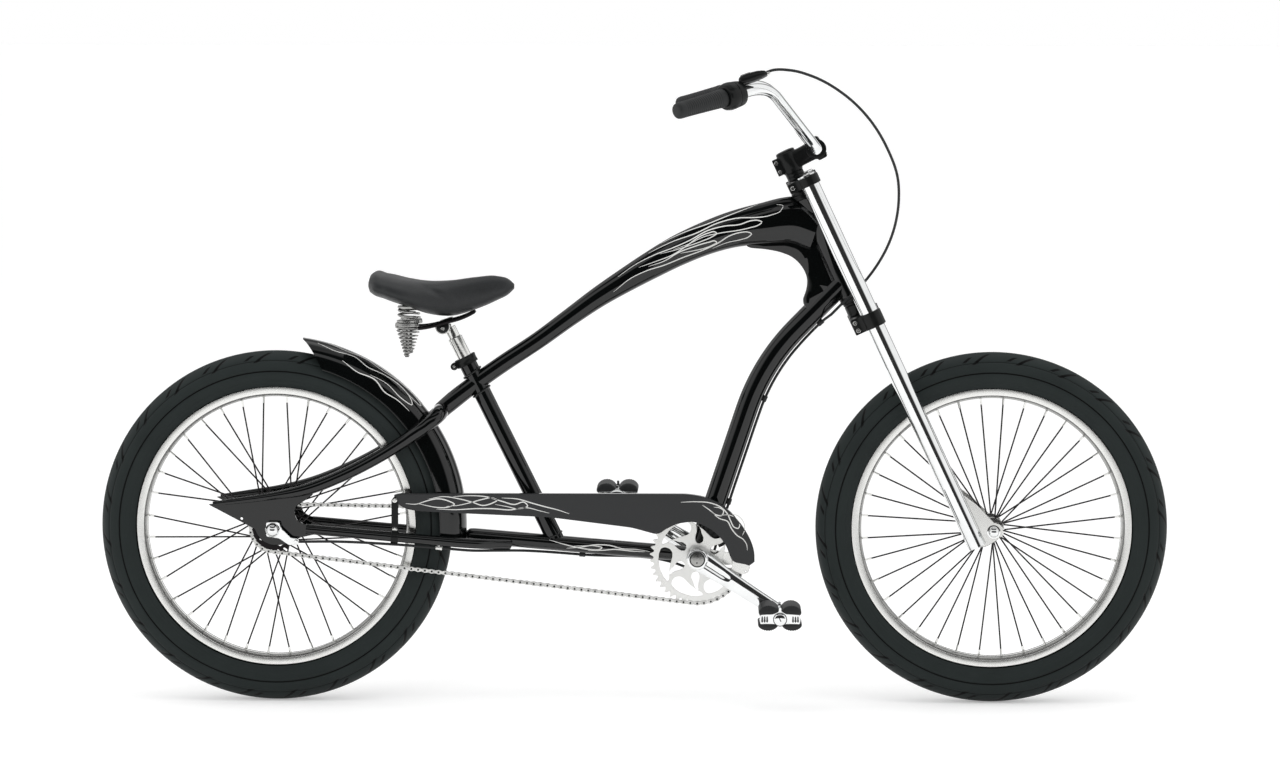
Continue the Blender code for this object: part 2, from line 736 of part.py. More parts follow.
def make_saddle():
    rings = [oval_ring(at(x, (top + low) / 2), Vector((1, 0, 0)), (top - low) / 2, half, 2.3, 24)
             for x, top, low, half in SADDLE_SECTIONS]
    keep(loft(rings), "saddle", LEATHER, FRAME)
    for side, word in SIDES:
        place = at(SPRING_X, 0, side * SPRING_Y)
        spring = turned([(0, 0.409), (0.017, 0.409), (0.017, 0.386), (0.008, 0.3845), (0.023, 0.3805),
                         (0.023, 0.3745), (0.005, 0.3195), (0, 0.3195)], place, (0, 0, 1), 16)
        cutter = oval_saddle_cutter()
        keep(cut(spring, [cutter]), f"saddle_spring_{word}", CHROME, FRAME)


def oval_saddle_cutter():
    rings = [oval_ring(at(x, (top + low) / 2), Vector((1, 0, 0)), (top - low) / 2 + GAP, half + GAP, 2.3, 24)
             for x, top, low, half in SADDLE_SECTIONS]
    return loft(rings)


def post_top_cutter():
    return rod(seat_line(0.02), seat_line(-POST_TOP - GAP), POST_RADIUS + GAP, 24)


# One saddle rail from under the nose to its spring: x, z, y
RAIL_ROUTE = (
    (0.364, 0.3965, 0.016), (0.342, 0.3865, 0.020), (0.3165, 0.3795, 0.0235),
    (0.288, 0.372, 0.029), (0.2645, 0.369, 0.0385),
)


def make_saddle_rails():
    """The seat clamp's barrel with a rail welded along each end of it."""
    clamp = cross_rod(at(*CLAMP_PLACE), -CLAMP_HALF_WIDTH, CLAMP_HALF_WIDTH, CLAMP_RADIUS, 20)
    routes = [[at(x, z, side * y) for x, z, y in RAIL_ROUTE] for side, _ in SIDES]
    rails = [wire(smooth(route, 2), RAIL_RADIUS, 2) for route in routes]
    keep(cut(fuse(clamp, rails), [post_top_cutter(), oval_saddle_cutter()]), "saddle_rails", STEEL, FRAME)


def fender_profile():
    """Half section of the fender, crown to skirt: radius, half width."""
    drops = ((0.0, 0.0), (0.0035, 0.021), (0.0135, 0.0365), (0.0275, FENDER_HALF_WIDTH - 0.0010),
             (FENDER_DEPTH, FENDER_HALF_WIDTH))
    return [(FENDER_RADIUS - drop, half_width) for drop, half_width in drops]


def make_fender():
    """An open arched surface about the rear hub, thickened inward."""
    bm = bmesh.new()
    half = fender_profile()
    section = [(r, -y) for r, y in reversed(half)] + half[1:]
    steps = 15
    rows = []
    for index in range(steps + 1):
        angle = math.radians(FENDER_START + (FENDER_END - FENDER_START) * index / steps)
        rows.append([bm.verts.new((r * math.cos(angle), y, r * math.sin(angle))) for r, y in section])
    for first, second in zip(rows, rows[1:]):
        for index in range(len(section) - 1):
            bm.faces.new((first[index], first[index + 1], second[index + 1], second[index]))
    item = mesh_object("fender", bm)
    item.location = REAR_HUB
    wall = item.modifiers.new("wall", "SOLIDIFY")
    wall.thickness = FENDER_WALL
    wall.offset = -1
    wall.use_even_offset = True
    keep(item, "rear_fender", PAINT, FRAME)


# Chain guard outline: top edge from the rear, then the lower edge back; x, z
GUARD_TOP = (
    (0.222, 0.0625), (0.232, 0.0655), (0.762, 0.066), (0.792, 0.0615), (0.818, 0.0515),
    (0.842, 0.0335), (0.863, 0.0085), (0.878, -0.0165), (0.886, -0.0395), (0.886, -0.0595),
)
GUARD_LOW = (
    (0.878, -0.0655), (0.846, -0.0595), (0.840, -0.0455), (0.834, -0.0285), (0.820, -0.0105),
    (0.802, 0.0035), (0.775, 0.0155), (0.744, 0.0115), (0.722, 0.0005), (0.708, -0.0095),
    (0.660, 0.0035), (0.507, 0.0225), (0.264, 0.0325), (0.240, 0.0385), (0.222, 0.0505),
)
# Strap from the guard's rear end down to the chainstay: x, z
STRAP_OUTLINE = ((0.2170, -0.013), (0.2295, -0.013), (0.2295, 0.0545), (0.2232, 0.061), (0.2170, 0.0545))


def make_guard():
    outer = -GUARD_Y
    sheet = as_mesh(plate(GUARD_TOP + GUARD_LOW, outer, outer + GUARD_WALL))
    inward = []
    for index, (x, z) in enumerate(GUARD_TOP):
        before = Vector(GUARD_TOP[max(index - 1, 0)])
        after = Vector(GUARD_TOP[min(index + 1, len(GUARD_TOP) - 1)])
        run = (after - before).normalized()
        inward.append((x + run.y * GUARD_WALL, z - run.x * GUARD_WALL))
    band = list(GUARD_TOP[1:]) + list(reversed(inward[1:]))
    flange = as_mesh(plate(band, outer + GUARD_WALL / 2, outer + GUARD_FLANGE))
    keep(fuse(sheet, [flange]), "chain_guard", PAINT, FRAME)
    strap_face = -GUARD_Y - GAP
    strap = as_mesh(plate(STRAP_OUTLINE, strap_face - STRAP_THICKNESS, strap_face))
    keep(cut(strap, [chainstay_cutter()]), "guard_strap", ANODISED, FRAME)
    inner = -SHELL_HALF_WIDTH - GAP
    foot = cross_rod(at(*GUARD_FOOT), -GUARD_Y + GUARD_WALL + GAP, inner, GUARD_FOOT_RADIUS, 16)
    tip = GUARD_FOOT[0] + 0.003
    outline = ((BRACKET_X, BRACKET_Z + 0.017), (BRACKET_X, BRACKET_Z - 0.017), (tip, GUARD_FOOT[1] - 0.006),
               (tip, GUARD_FOOT[1] + 0.006))
    tab = as_mesh(plate(outline, inner - GUARD_TAB, inner))
    keep(cut(fuse(tab, [foot]), [shell_gap_cutter()]), "guard_bracket", SILVER, FRAME)


def shell_gap_cutter():
    return cross_rod(BRACKET, -0.06, -0.03, SPINDLE_RADIUS + 0.006, 24)


def chainstay_cutter():
    return wire([at(*place, -CHAINSTAY_Y) for place in CHAINSTAY_LINE], CHAINSTAY_RADIUS + GAP, 3)


def chain_path(count=12):
    """The loop round both sprockets at pitch radius, as workshop (x, z) points."""
    front = Vector((BRACKET_X, BRACKET_Z))
    rear = Vector((0, 0))
    line = front - rear
    lean = math.acos((PITCH_REAR - PITCH_FRONT) / line.length)
    base = math.atan2(line.y, line.x)
    path = []
    for centre, radius, start, end, steps in (
            (front, PITCH_FRONT, base + lean, base - lean, count * 2),
            (rear, PITCH_REAR, base - lean, base + lean - 2 * math.pi, count)):
        for index in range(steps + 1):
            angle = start + (end - start) * index / steps
            path.append(centre + Vector((math.cos(angle), math.sin(angle))) * radius)
    return path


def make_chain():
    """One loop with a channel on its inner side, which the teeth run in."""
    low, high, wide, slot = -CHAIN_HALF_HEIGHT, CHAIN_HALF_HEIGHT, CHAIN_HALF_WIDTH, CHAIN_SLOT_HALF
    floor = TOOTH_TIP + 0.0007
    outline = ((wide, high), (-wide, high), (-wide, low), (-slot, low), (-slot, floor), (slot, floor),
               (slot, low), (wide, low))
    rows = []
    path = chain_path()
    for index, point in enumerate(path):
        before, after = path[index - 1], path[(index + 1) % len(path)]
        run = (after - before).normalized()
        out = Vector((-run.y, run.x))
        rows.append([at(point.x + out.x * h, point.y + out.y * h, -CHAIN_LINE + w) for w, h in outline])
    bm = bmesh.new()
    rings = [[bm.verts.new(point) for point in row] for row in rows]
    count = len(outline)
    for number, first in enumerate(rings):
        second = rings[(number + 1) % len(rings)]
        for index in range(count):
            after = (index + 1) % count
            bm.faces.new((first[index], first[after], second[after], second[index]))
    bmesh.ops.recalc_face_normals(bm, faces=bm.faces)
    keep(mesh_object("chain", bm), "chain", STEEL, FRAME)


def toothed_disc(centre, teeth, pitch_radius, half_width, windows, bore):
    """A sprocket in the chain's plane; windows are (x, z) outlines cut through it."""
    outline = []
    for tooth in range(teeth):
        for share, radius in ((0.0, pitch_radius - TOOTH_ROOT), (0.38, pitch_radius + TOOTH_TIP),
                              (0.62, pitch_radius + TOOTH_TIP)):
            angle = -2 * math.pi * (tooth + share) / teeth
            outline.append((centre[0] + radius * math.cos(angle), centre[1] + radius * math.sin(angle)))
    disc = as_mesh(plate(outline, -CHAIN_LINE - half_width, -CHAIN_LINE + half_width))
    hole = cross_rod(at(*centre), -CHAIN_LINE - 0.02, -CHAIN_LINE + 0.02, bore, 24)
    cutters = [as_mesh(plate(window, -CHAIN_LINE - 0.02, -CHAIN_LINE + 0.02)) for window in windows]
    return cut(disc, [hole] + cutters)


def swirl_windows():
    """Six teardrop openings that sweep round the ring."""
    windows = []
    for number in range(6):
        turn = 2 * math.pi * number / 6
        outline = []
        for radius, angle in ((0.030, 0), (0.040, -14), (0.052, -22), (0.064, -20), (0.071, -8), (0.071, 6),
                              (0.064, 16), (0.054, 18), (0.044, 14), (0.036, 8)):
            spot = turn + math.radians(angle + (radius - 0.030) * 600)
            outline.append((BRACKET_X + radius * math.cos(spot), BRACKET_Z + radius * math.sin(spot)))
        windows.append(outline)
    return windows


def make_drive():
    ring = toothed_disc((BRACKET_X, BRACKET_Z), RING_TEETH, PITCH_FRONT, TOOTH_WIDTH / 2, swirl_windows(),
                        SPINDLE_RADIUS + GAP)
    keep(ring, "chainring", SILVER, CRANKS)
    cog = toothed_disc((0, 0), COG_TEETH, PITCH_REAR, TOOTH_WIDTH / 2, (), AXLE_REAR + RUN_GAP)
    keep(cog, "rear_sprocket", STEEL, COG)
    spindle = cross_rod(BRACKET, -CRANK_FACE - 0.010, CRANK_FACE + 0.010, SPINDLE_RADIUS, 24)
    keep(spindle, "crank_axle", STEEL, CRANKS)
    for side, word in SIDES:
        tip = pedal_centre(side)
        face = side * CRANK_FACE
        away = side * (CRANK_FACE + CRANK_THICKNESS)
        middle = (BRACKET + tip) / 2 + Vector((0, (face + away) / 2, 0))
        arm = block(middle, (CRANK_LENGTH, CRANK_THICKNESS, CRANK_WIDTH), -CRANK_DROP)
        inboard = CHAIN_LINE + TOOTH_WIDTH / 2 + GAP if side < 0 else SHELL_HALF_WIDTH + 0.0008
        boss = cross_rod(BRACKET, side * inboard, away + side * 0.004, CRANK_BOSS_RADIUS, 24)
        eye = cross_rod(tip, face, away, CRANK_EYE_RADIUS, 24)
        hole = cross_rod(BRACKET, -CRANK_FACE - 0.0105, CRANK_FACE + 0.0105, SPINDLE_RADIUS + GAP, 24)
        pin_end = PEDAL_START + PEDAL_WIDTH - 0.012
        pin = cross_rod(tip, side * (CRANK_FACE + CRANK_THICKNESS / 2), side * pin_end, PEDAL_AXLE, 16)
        keep(cut(fuse(boss, [arm, eye, pin]), [hole]), f"crank_{word}", CHROME, CRANKS)


def make_pedals():
    for side, word in SIDES:
        tip = pedal_centre(side)
        near = PEDAL_START
        far = PEDAL_START + PEDAL_WIDTH
        barrel = cross_rod(tip, side * near, side * far, PEDAL_BARREL_RADIUS, 20)
        ends = [block(tip + Vector((0, side * y, 0)), (PEDAL_LENGTH - 0.010, PEDAL_PLATE, PEDAL_PLATE_HEIGHT))
                for y in (near + PEDAL_PLATE / 2, far - PEDAL_PLATE / 2)]
        bore = cross_rod(tip, side * (near - 0.01), side * (far - 0.0115), PEDAL_AXLE + RUN_GAP, 16)
        keep(cut(fuse(barrel, ends), [bore]), f"pedal_{word}", CHROME, PEDALS[side])
        low = near + PEDAL_PLATE + GAP
        high = far - PEDAL_PLATE - GAP
        tread = block(tip + Vector((0, side * (low + high) / 2, 0)), (PEDAL_LENGTH, high - low, TREAD_HEIGHT))
        bevel = tread.modifiers.new("round", "BEVEL")
        bevel.width = TREAD_BEVEL
        bevel.segments = 2
        tread = as_mesh(tread)
        hole = cross_rod(tip, side * (near - 0.01), side * (far + 0.01), PEDAL_BARREL_RADIUS + GAP, 20)
        keep(cut(tread, [hole]), f"pedal_tread_{word}", RUBBER, PEDALS[side])


def tyre_profile():
    """Closed (r, h) section of a tyre that sits on the rim's lips."""
    centre = TYRE_RADIUS - TYRE_SECTION
    bead = RIM_RADIUS + GAP
    half = math.acos((bead - centre) / TYRE_SECTION)
    section = []
    for index in range(TYRE_POINTS):
        angle = half * (1 - 2 * index / (TYRE_POINTS - 1))
        section.append((centre + TYRE_SECTION * math.cos(angle), TYRE_SECTION * math.sin(angle)))
    return section


def make_wheel(word, place, body, flange_radius, flange_y, hub_radius, hub_half, axle, slant):
    """Tyre, rim and a hub that carries its spokes; slant is a spoke's angle between hub and rim hole."""
    across = (0, 1, 0)
    keep(turned(tyre_profile(), place, across, WHEEL_STEPS, True), f"{word}_tyre", TYRE, body)
    inner = RIM_RADIUS - RIM_DEPTH
    lip = RIM_RADIUS - RIM_LIP
    rim = [(RIM_RADIUS, RIM_HALF_WIDTH), (RIM_RADIUS, -RIM_HALF_WIDTH), (lip, -RIM_HALF_WIDTH),
           (inner, -RIM_INNER_HALF_WIDTH), (inner, RIM_INNER_HALF_WIDTH), (lip, RIM_HALF_WIDTH)]
    keep(turned(rim, place, across, WHEEL_STEPS, True), f"{word}_rim", SILVER, body)
    bore = axle + RUN_GAP
    collar = axle + HUB_COLLAR_WALL
    flange = HUB_FLANGE_HALF
    profile = [(bore, hub_half), (collar, hub_half), (collar, flange_y + 0.006),
               (hub_radius, flange_y + flange), (flange_radius, flange_y + flange),
               (flange_radius, flange_y - flange), (hub_radius, flange_y - flange)]
    mirrored = [(r, -h) for r, h in reversed(profile)]
    hub = as_mesh(turned(profile + mirrored, place, across, 24, True))
    rim_reach = inner * math.cos(math.pi / WHEEL_STEPS) - 2 * GAP
    lacing = spokes(place, flange_radius - 0.003, flange_y, rim_reach, slant)
    keep(fuse(hub, [lacing]), f"{word}_hub", SILVER, body)


def spokes(place, hub_reach, flange_y, rim_reach, slant):
    """All of a wheel's spokes in one mesh; they lie on alternate flanges and slant both ways."""
    bm = bmesh.new()
    for number in range(SPOKE_COUNT):
        side = 1 if number % 2 else -1
        way = 1 if (number // 2) % 2 else -1
        rim_angle = 2 * math.pi * number / SPOKE_COUNT
        hub_angle = rim_angle + way * math.radians(slant)
        hub_y = side * (flange_y + way * 0.0009)
        start = Vector((hub_reach * math.cos(hub_angle), hub_y, hub_reach * math.sin(hub_angle)))
        end = Vector((rim_reach * math.cos(rim_angle), side * 0.002, rim_reach * math.sin(rim_angle)))
        run = end - start
        turn = run.to_track_quat("Z", "Y").to_matrix().to_4x4()
        bmesh.ops.create_cone(bm, cap_ends=True, segments=4, radius1=SPOKE_RADIUS, radius2=SPOKE_RADIUS,
                              depth=run.length, matrix=Matrix.Translation((start + end) / 2) @ turn)
    item = mesh_object("spokes", bm)
    item.location = place
    return item


def axle_piece(place, radius, half, collar_low, collar_high, nut_inner, name, body):
    """A wheel axle with spacers inside the dropouts and nuts outside them."""
    collar = radius + AXLE_COLLAR_WALL
    nut_outer = nut_inner + NUT_LENGTH
    side = [(0, half), (radius, half), (radius, nut_outer), (NUT_RADIUS, nut_outer),
            (NUT_RADIUS, nut_inner), (radius, nut_inner), (radius, collar_high), (collar, collar_high),
            (collar, collar_low), (radius, collar_low)]
    mirrored = [(r, -h) for r, h in reversed(side)]
    keep(turned(side + mirrored, place, (0, 1, 0), 12), name, STEEL, body)


def make_wheels():
    make_wheel("rear", REAR_HUB, REAR_WHEEL, REAR_FLANGE_RADIUS, REAR_FLANGE_Y, REAR_BARREL_RADIUS,
               REAR_HUB_HALF, AXLE_REAR, REAR_SPOKE_SLANT)
    make_wheel("front", FRONT_HUB, FRONT_WHEEL, FRONT_FLANGE_RADIUS, FRONT_FLANGE_Y, FRONT_BARREL_RADIUS,
               FRONT_HUB_HALF, AXLE_FRONT, FRONT_SPOKE_SLANT)
    axle_piece(REAR_HUB, AXLE_REAR, REAR_AXLE_HALF, CHAIN_LINE + TOOTH_WIDTH / 2 + RUN_GAP, TAIL_INNER - GAP,
               TAIL_INNER + TAIL_THICKNESS + GAP, "rear_axle", FRAME)
    fork_inner = LEG_Y - FORK_END_THICKNESS / 2 - GAP
    fork_outer = LEG_Y + FORK_END_THICKNESS / 2 + GAP
    axle_piece(FRONT_HUB, AXLE_FRONT, FRONT_AXLE_HALF, FRONT_HUB_HALF + RUN_GAP, fork_inner, fork_outer,
               "front_axle", STEERING)


def make_fork():
    for side, word in SIDES:
        y = side * LEG_Y
        leg = rod(steer(LEG_AHEAD, LEG_FOOT, y), steer(LEG_AHEAD, LEG_TOP, y), LEG_RADIUS, 24)
        corners = (steer(LEG_AHEAD - 0.004, 0.050), steer(LEG_AHEAD - 0.004, LEG_FOOT + 0.003),
                   steer(FORK_OFFSET - 0.006, -0.016), steer(FORK_OFFSET + 0.006, 0.016),
                   steer(LEG_AHEAD + 0.014, 0.062))
        outline = [(corner.x + RIDER_X, corner.z + RIDER_Z) for corner in corners]
        web = as_mesh(plate(outline, y - FORK_END_THICKNESS / 2, y + FORK_END_THICKNESS / 2))
        boss = cross_rod(FRONT_HUB, y - FORK_END_THICKNESS / 2, y + FORK_END_THICKNESS / 2, FORK_END_BOSS, 24)
        hole = cross_rod(FRONT_HUB, y - 0.03, y + 0.03, AXLE_FRONT + GAP, 20)
        keep(cut(fuse(leg, [web, boss]), [hole]), f"fork_leg_{word}", CHROME, STEERING)


def crown(low, height, centre_radius, name, steerer_top):
    """A clamp plate across both fork legs, with the steerer or its hole in the middle."""
    middle = low + height / 2
    bridge = block(steer(LEG_AHEAD / 2 - 0.002, middle), (0.034, 2 * LEG_Y, height * 0.8), HEAD_LEAN)
    high = low + height
    rings = []
    pinches = []
    holes = []
    for side, _ in SIDES:
        y = side * LEG_Y
        rings.append(rod(steer(LEG_AHEAD, low, y), steer(LEG_AHEAD, high, y), LEG_RADIUS + CROWN_WALL, 16))
        pinch = steer(LEG_AHEAD - LEG_RADIUS - CROWN_WALL, middle, y)
        pinches.append(block(pinch, (0.016, 0.014, height * 0.6), HEAD_LEAN))
        beyond = 0.01
        start, end = steer(LEG_AHEAD, low - beyond, y), steer(LEG_AHEAD, high + beyond, y)
        holes.append(rod(start, end, LEG_RADIUS + GAP, 16))
    boss = rod(steer(0, low), steer(0, high), centre_radius, 16)
    item = fuse(bridge, rings + pinches + [boss])
    if steerer_top:
        cut(item, holes)
        race_top = HEAD_LOW - GAP - LOWER_CUP_HEIGHT - RUN_GAP
        fuse(item, [rod(steer(0, middle), steer(0, steerer_top), STEERER_RADIUS, 16),
                    rod(steer(0, middle), steer(0, race_top), RACE_RADIUS, 16)])
    else:
        holes.append(rod(steer(0, low - 0.01), steer(0, high + 0.01), STEERER_RADIUS + GAP, 16))
        cut(item, holes)
    keep(item, name, ANODISED, STEERING)


def make_crowns():
    crown(LOWER_CROWN_LOW, LOWER_CROWN_HEIGHT, CROWN_BOSS_RADIUS, "lower_crown", STEM_HIGH - 0.002)
    crown(UPPER_CROWN_LOW, UPPER_CROWN_HEIGHT, CROWN_BOSS_RADIUS, "upper_crown", None)


def make_stem():
    middle = (STEM_LOW + STEM_HIGH) / 2
    spacer = rod(steer(0, UPPER_CROWN_TOP + GAP), steer(0, middle), STEM_RADIUS - 0.002, 16)
    clamp = rod(steer(0, STEM_LOW), steer(0, STEM_HIGH), STEM_RADIUS, 16)
    ears = block(steer(-STEM_RADIUS, middle), (0.016, 0.022, STEM_HEIGHT - 0.006), HEAD_LEAN)
    neck = beam(steer(0, middle), steer(BAR_AHEAD, BAR_UP), STEM_NECK)
    grip = steer(BAR_AHEAD, BAR_UP)
    head = cross_rod(grip, -STEM_HEAD_HALF, STEM_HEAD_HALF, BAR_RADIUS + STEM_HEAD_WALL, 16)
    cap = rod(steer(0, STEM_HIGH - 0.001), steer(0, STEM_HIGH + STEM_CAP_HEIGHT), STEM_RADIUS, 16, 0.014)
    bores = [rod(steer(0, UPPER_CROWN_LOW), steer(0, STEM_HIGH - 0.001), STEERER_RADIUS + GAP, 16),
             cross_rod(steer(BAR_AHEAD, BAR_UP), -0.04, 0.04, BAR_RADIUS + GAP, 16)]
    keep(cut(fuse(clamp, [spacer, ears, neck, head, cap]), bores), "stem", ANODISED, STEERING)


# Handlebar route from the stem out to one grip's end: x, z, y; mirrored for the other side
BAR_ROUTE = ((0.9035, 0.819, 0.235), (0.7445, 0.775, 0.3650))

def bar_side(side):
    middle = steer(BAR_AHEAD, BAR_UP)
    turn = middle + Vector((0, side * 0.062, 0))
    return [middle, turn] + [at(x, z, side * y) for x, z, y in BAR_ROUTE]


def grip_line(side, distance):
    """A point on the handlebar's last straight, measured back from its end."""
    end, before = bar_side(side)[3], bar_side(side)[2]
    return end + (before - end).normalized() * distance


def pod_place():
    """The middle of the shifter's cable pod and the way its cable leaves it."""
    turn = math.radians(POD_TILT)
    place = grip_line(-1, GRIP_LENGTH + GAP + 0.026) + Vector(POD_OFFSET)
    return place, Vector((math.cos(turn), 0, math.sin(turn)))


def bar_path(side):
    return rounded(bar_side(side), (BAR_BEND_LOW, BAR_BEND_HIGH), 7.5)


def make_handlebar():
    right = bar_path(-1)
    path = list(reversed(right)) + bar_path(1)[1:]
    keep(as_mesh(wire(path, BAR_RADIUS, 3)), "handlebar", CHROME, STEERING)
    for side, word in SIDES:
        closed = -GRIP_END_CAP
        grip = rod(grip_line(side, closed), grip_line(side, GRIP_LENGTH), GRIP_RADIUS, 18)
        bore = rod(grip_line(side, -GAP), grip_line(side, GRIP_LENGTH + 0.01), BAR_RADIUS + GAP, 18)
        keep(cut(grip, [bore]), f"grip_{word}", RUBBER, STEERING)
    low = GRIP_LENGTH + GAP
    shifter = rod(grip_line(-1, low), grip_line(-1, low + SHIFTER_LENGTH), SHIFTER_RADIUS, 18,
                  SHIFTER_END_RADIUS)
    pod = block(pod_place()[0], POD_SIZE, POD_TILT)
    bore = wire(right, BAR_RADIUS + 2 * GAP, 4)
    keep(cut(fuse(shifter, [pod]), [bore]), "twist_shifter", ANODISED, STEERING)


# Route of the shift cable from the shifter's pod to beside the head tube's foot: x, z, y
CABLE_LOOP = (
    (0.938, 0.8575, -0.285), (0.981, 0.8465, -0.262), (1.040, 0.8135, -0.228), (1.085, 0.7705, -0.196),
    (1.125, 0.7055, -0.160), (1.139, 0.6555, -0.134), (1.141, 0.6085, -0.112), (1.129, 0.5385, -0.078),
    (1.079, 0.4505, -0.040), (1.044, 0.4145, -0.034),
)
CABLE_DROP = 0.0012


def beside_tube(start, end, share, radius):
    """A place on a tube's axis between two workshop points, and the cable's place below it."""
    begin, finish = at(*start), at(*end)
    run = (finish - begin).normalized()
    below = Vector((0, 1, 0)).cross(run)
    if below.z > 0:
        below = -below
    axis = begin.lerp(finish, share)
    return axis, axis + below * (radius + CABLE_RADIUS + CABLE_DROP)


def down_tube_guides():
    """Three places down the down tube, each with the cable's place in front of it."""
    path = rounded([at(x, z) for x, z in DOWN_TUBE_POINTS], (DOWN_TUBE_BEND,), 4.0)
    lengths = [0.0]
    for first, second in zip(path, path[1:]):
        lengths.append(lengths[-1] + (second - first).length)
    places = []
    for share in (0.14, 0.46, 0.80):
        goal = share * lengths[-1]
        index = next(number for number in range(1, len(path)) if lengths[number] >= goal)
        first, second = path[index - 1], path[index]
        axis = first.lerp(second, (goal - lengths[index - 1]) / (lengths[index] - lengths[index - 1]))
        out = Vector((0, 1, 0)).cross(first - second).normalized()
        places.append((axis, axis + out * (DOWN_TUBE_RADIUS + CABLE_RADIUS + CABLE_DROP)))
    return places


def lower_tube_guides():
    return [beside_tube(*LOWER_TUBE_LINE, 0.50, LOWER_TUBE_HALF_HEIGHT)]


def chainstay_guides():
    start, end = CHAINSTAY_LINE
    return [beside_tube((*start, -CHAINSTAY_Y), (*end, -CHAINSTAY_Y), 0.77, CHAINSTAY_RADIUS)]


def guides(places):
    """Small stand-offs from a tube's middle to the cable."""
    return [rod(foot, head, GUIDE_RADIUS, 8) for foot, head in places]


# The cable's run round the bottom bracket and on from the right chainstay to the hub: x, z, y
CABLE_START = (1.0265, 0.3965, -0.0310)
CABLE_BEND = (
    (0.8211, -0.0132, 0.0), (0.8100, -0.0515, 0.0), (0.8000, -0.0725, 0.0), (0.7810, -0.082, 0.0),
    (0.7600, -0.0765, 0.0), (0.7400, -0.0693, 0.0),
)
CABLE_CROSSING = ((0.460, -0.0461, -0.006), (0.410, -0.042, -0.040), (0.365, -0.0395, -0.062))
CABLE_END = ((0.220, -0.0276, -0.0690), (0.110, -0.0215, -0.0800), (0.0483, -0.0215, -0.08425))


def cable_run(grow=0.0):
    """The cable under the down tube, lower tube and right chainstay, through each guide's head."""
    places = [at(*CABLE_START)] + [head for _, head in down_tube_guides()]
    places += [at(*point) for point in CABLE_BEND] + [head for _, head in lower_tube_guides()]
    places += [at(*point) for point in CABLE_CROSSING] + [head for _, head in chainstay_guides()]
    places += [at(*point) for point in CABLE_END]
    start = at(*CABLE_LOOP[-1])
    start += (places[0] - start).normalized() * GAP
    return wire(smooth([start] + places, 3), CABLE_RADIUS + grow, 2)

# Outline of the shift lever on the rear axle, and its inner face's y
LEVER_OUTLINE = (
    (-0.012, -0.012), (0.012, -0.0155), (0.030, -0.028), (0.048, -0.027), (0.048, -0.016),
    (0.034, -0.0145), (0.014, 0.0045), (0.012, 0.0145), (-0.012, 0.0145),
)
LEVER_FACE = -0.0825
LEVER_THICKNESS = 0.0035


def make_cable():
    place, along = pod_place()
    start = place + along * (POD_SIZE[0] / 2 + GAP)
    route = [start, start + along * 0.030] + [at(*point) for point in CABLE_LOOP]
    loop = wire(smooth(route, 3), CABLE_RADIUS, 2)
    keep(loop, "shift_cable", RUBBER, FRAME)
    keep(cable_run(), "frame_cable", RUBBER, FRAME)
    lever = as_mesh(plate(LEVER_OUTLINE, LEVER_FACE - LEVER_THICKNESS, LEVER_FACE))
    nut = [(0, 0.0170), (0.007, 0.0155), (0.0115, 0.0105), (NUT_RADIUS, 0), (0, 0)]
    cap = as_mesh(turned([(radius, height - LEVER_FACE) for radius, height in nut], REAR_HUB, (0, -1, 0), 20))
    hole = cross_rod(REAR_HUB, -REAR_AXLE_HALF - 2 * GAP, -0.07, AXLE_REAR + GAP, 20)
    keep(cut(fuse(lever, [cap]), [hole]), "shift_lever", SILVER, FRAME)


def build():
    make_head()
    make_main_tubes()
    make_gusset()
    make_bracket()
    make_stays()
    make_seat_post()
    make_saddle()
    make_saddle_rails()
    make_fender()
    make_guard()
    make_chain()
    make_drive()
    make_pedals()
    make_wheels()
    make_fork()
    make_crowns()
    make_stem()
    make_handlebar()
    make_cable()


build()
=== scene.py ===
"""The detailed look of a chopper bicycle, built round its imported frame.

The pieces' lengths are in millimetres until their mesh is made, and the settings and the stage are in
metres. Workshop points are x forward from the rear hub, z up from the axles and y to the rider's left.
"""

import json
import math

import bpy
import numpy as np
from mathutils import Matrix, Vector
from mathutils.geometry import delaunay_2d_cdt


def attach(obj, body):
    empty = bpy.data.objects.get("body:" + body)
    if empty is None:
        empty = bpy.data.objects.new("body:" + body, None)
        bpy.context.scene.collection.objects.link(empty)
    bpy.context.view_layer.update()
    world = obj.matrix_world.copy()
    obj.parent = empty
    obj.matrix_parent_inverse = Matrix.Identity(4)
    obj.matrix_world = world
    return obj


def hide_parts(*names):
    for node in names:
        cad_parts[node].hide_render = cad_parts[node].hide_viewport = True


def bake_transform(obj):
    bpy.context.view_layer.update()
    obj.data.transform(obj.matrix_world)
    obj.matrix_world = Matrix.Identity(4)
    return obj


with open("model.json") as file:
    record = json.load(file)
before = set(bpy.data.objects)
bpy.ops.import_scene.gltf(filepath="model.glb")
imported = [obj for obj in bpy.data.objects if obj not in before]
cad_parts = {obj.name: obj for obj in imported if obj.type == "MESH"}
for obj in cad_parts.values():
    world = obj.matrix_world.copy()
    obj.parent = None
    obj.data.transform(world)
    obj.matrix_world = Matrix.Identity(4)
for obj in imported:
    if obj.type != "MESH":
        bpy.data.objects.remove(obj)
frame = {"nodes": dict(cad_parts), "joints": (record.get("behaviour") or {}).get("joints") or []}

bl_info = {
    "name": "Chopper bicycle",
    "version": (1, 0, 0),
    "blender": (4, 5, 0),
    "location": "3D Viewport > Sidebar > Bicycle",
    "description": "Builds the detailed look of a chopper bicycle round its packed frame",
    "category": "Object",
}

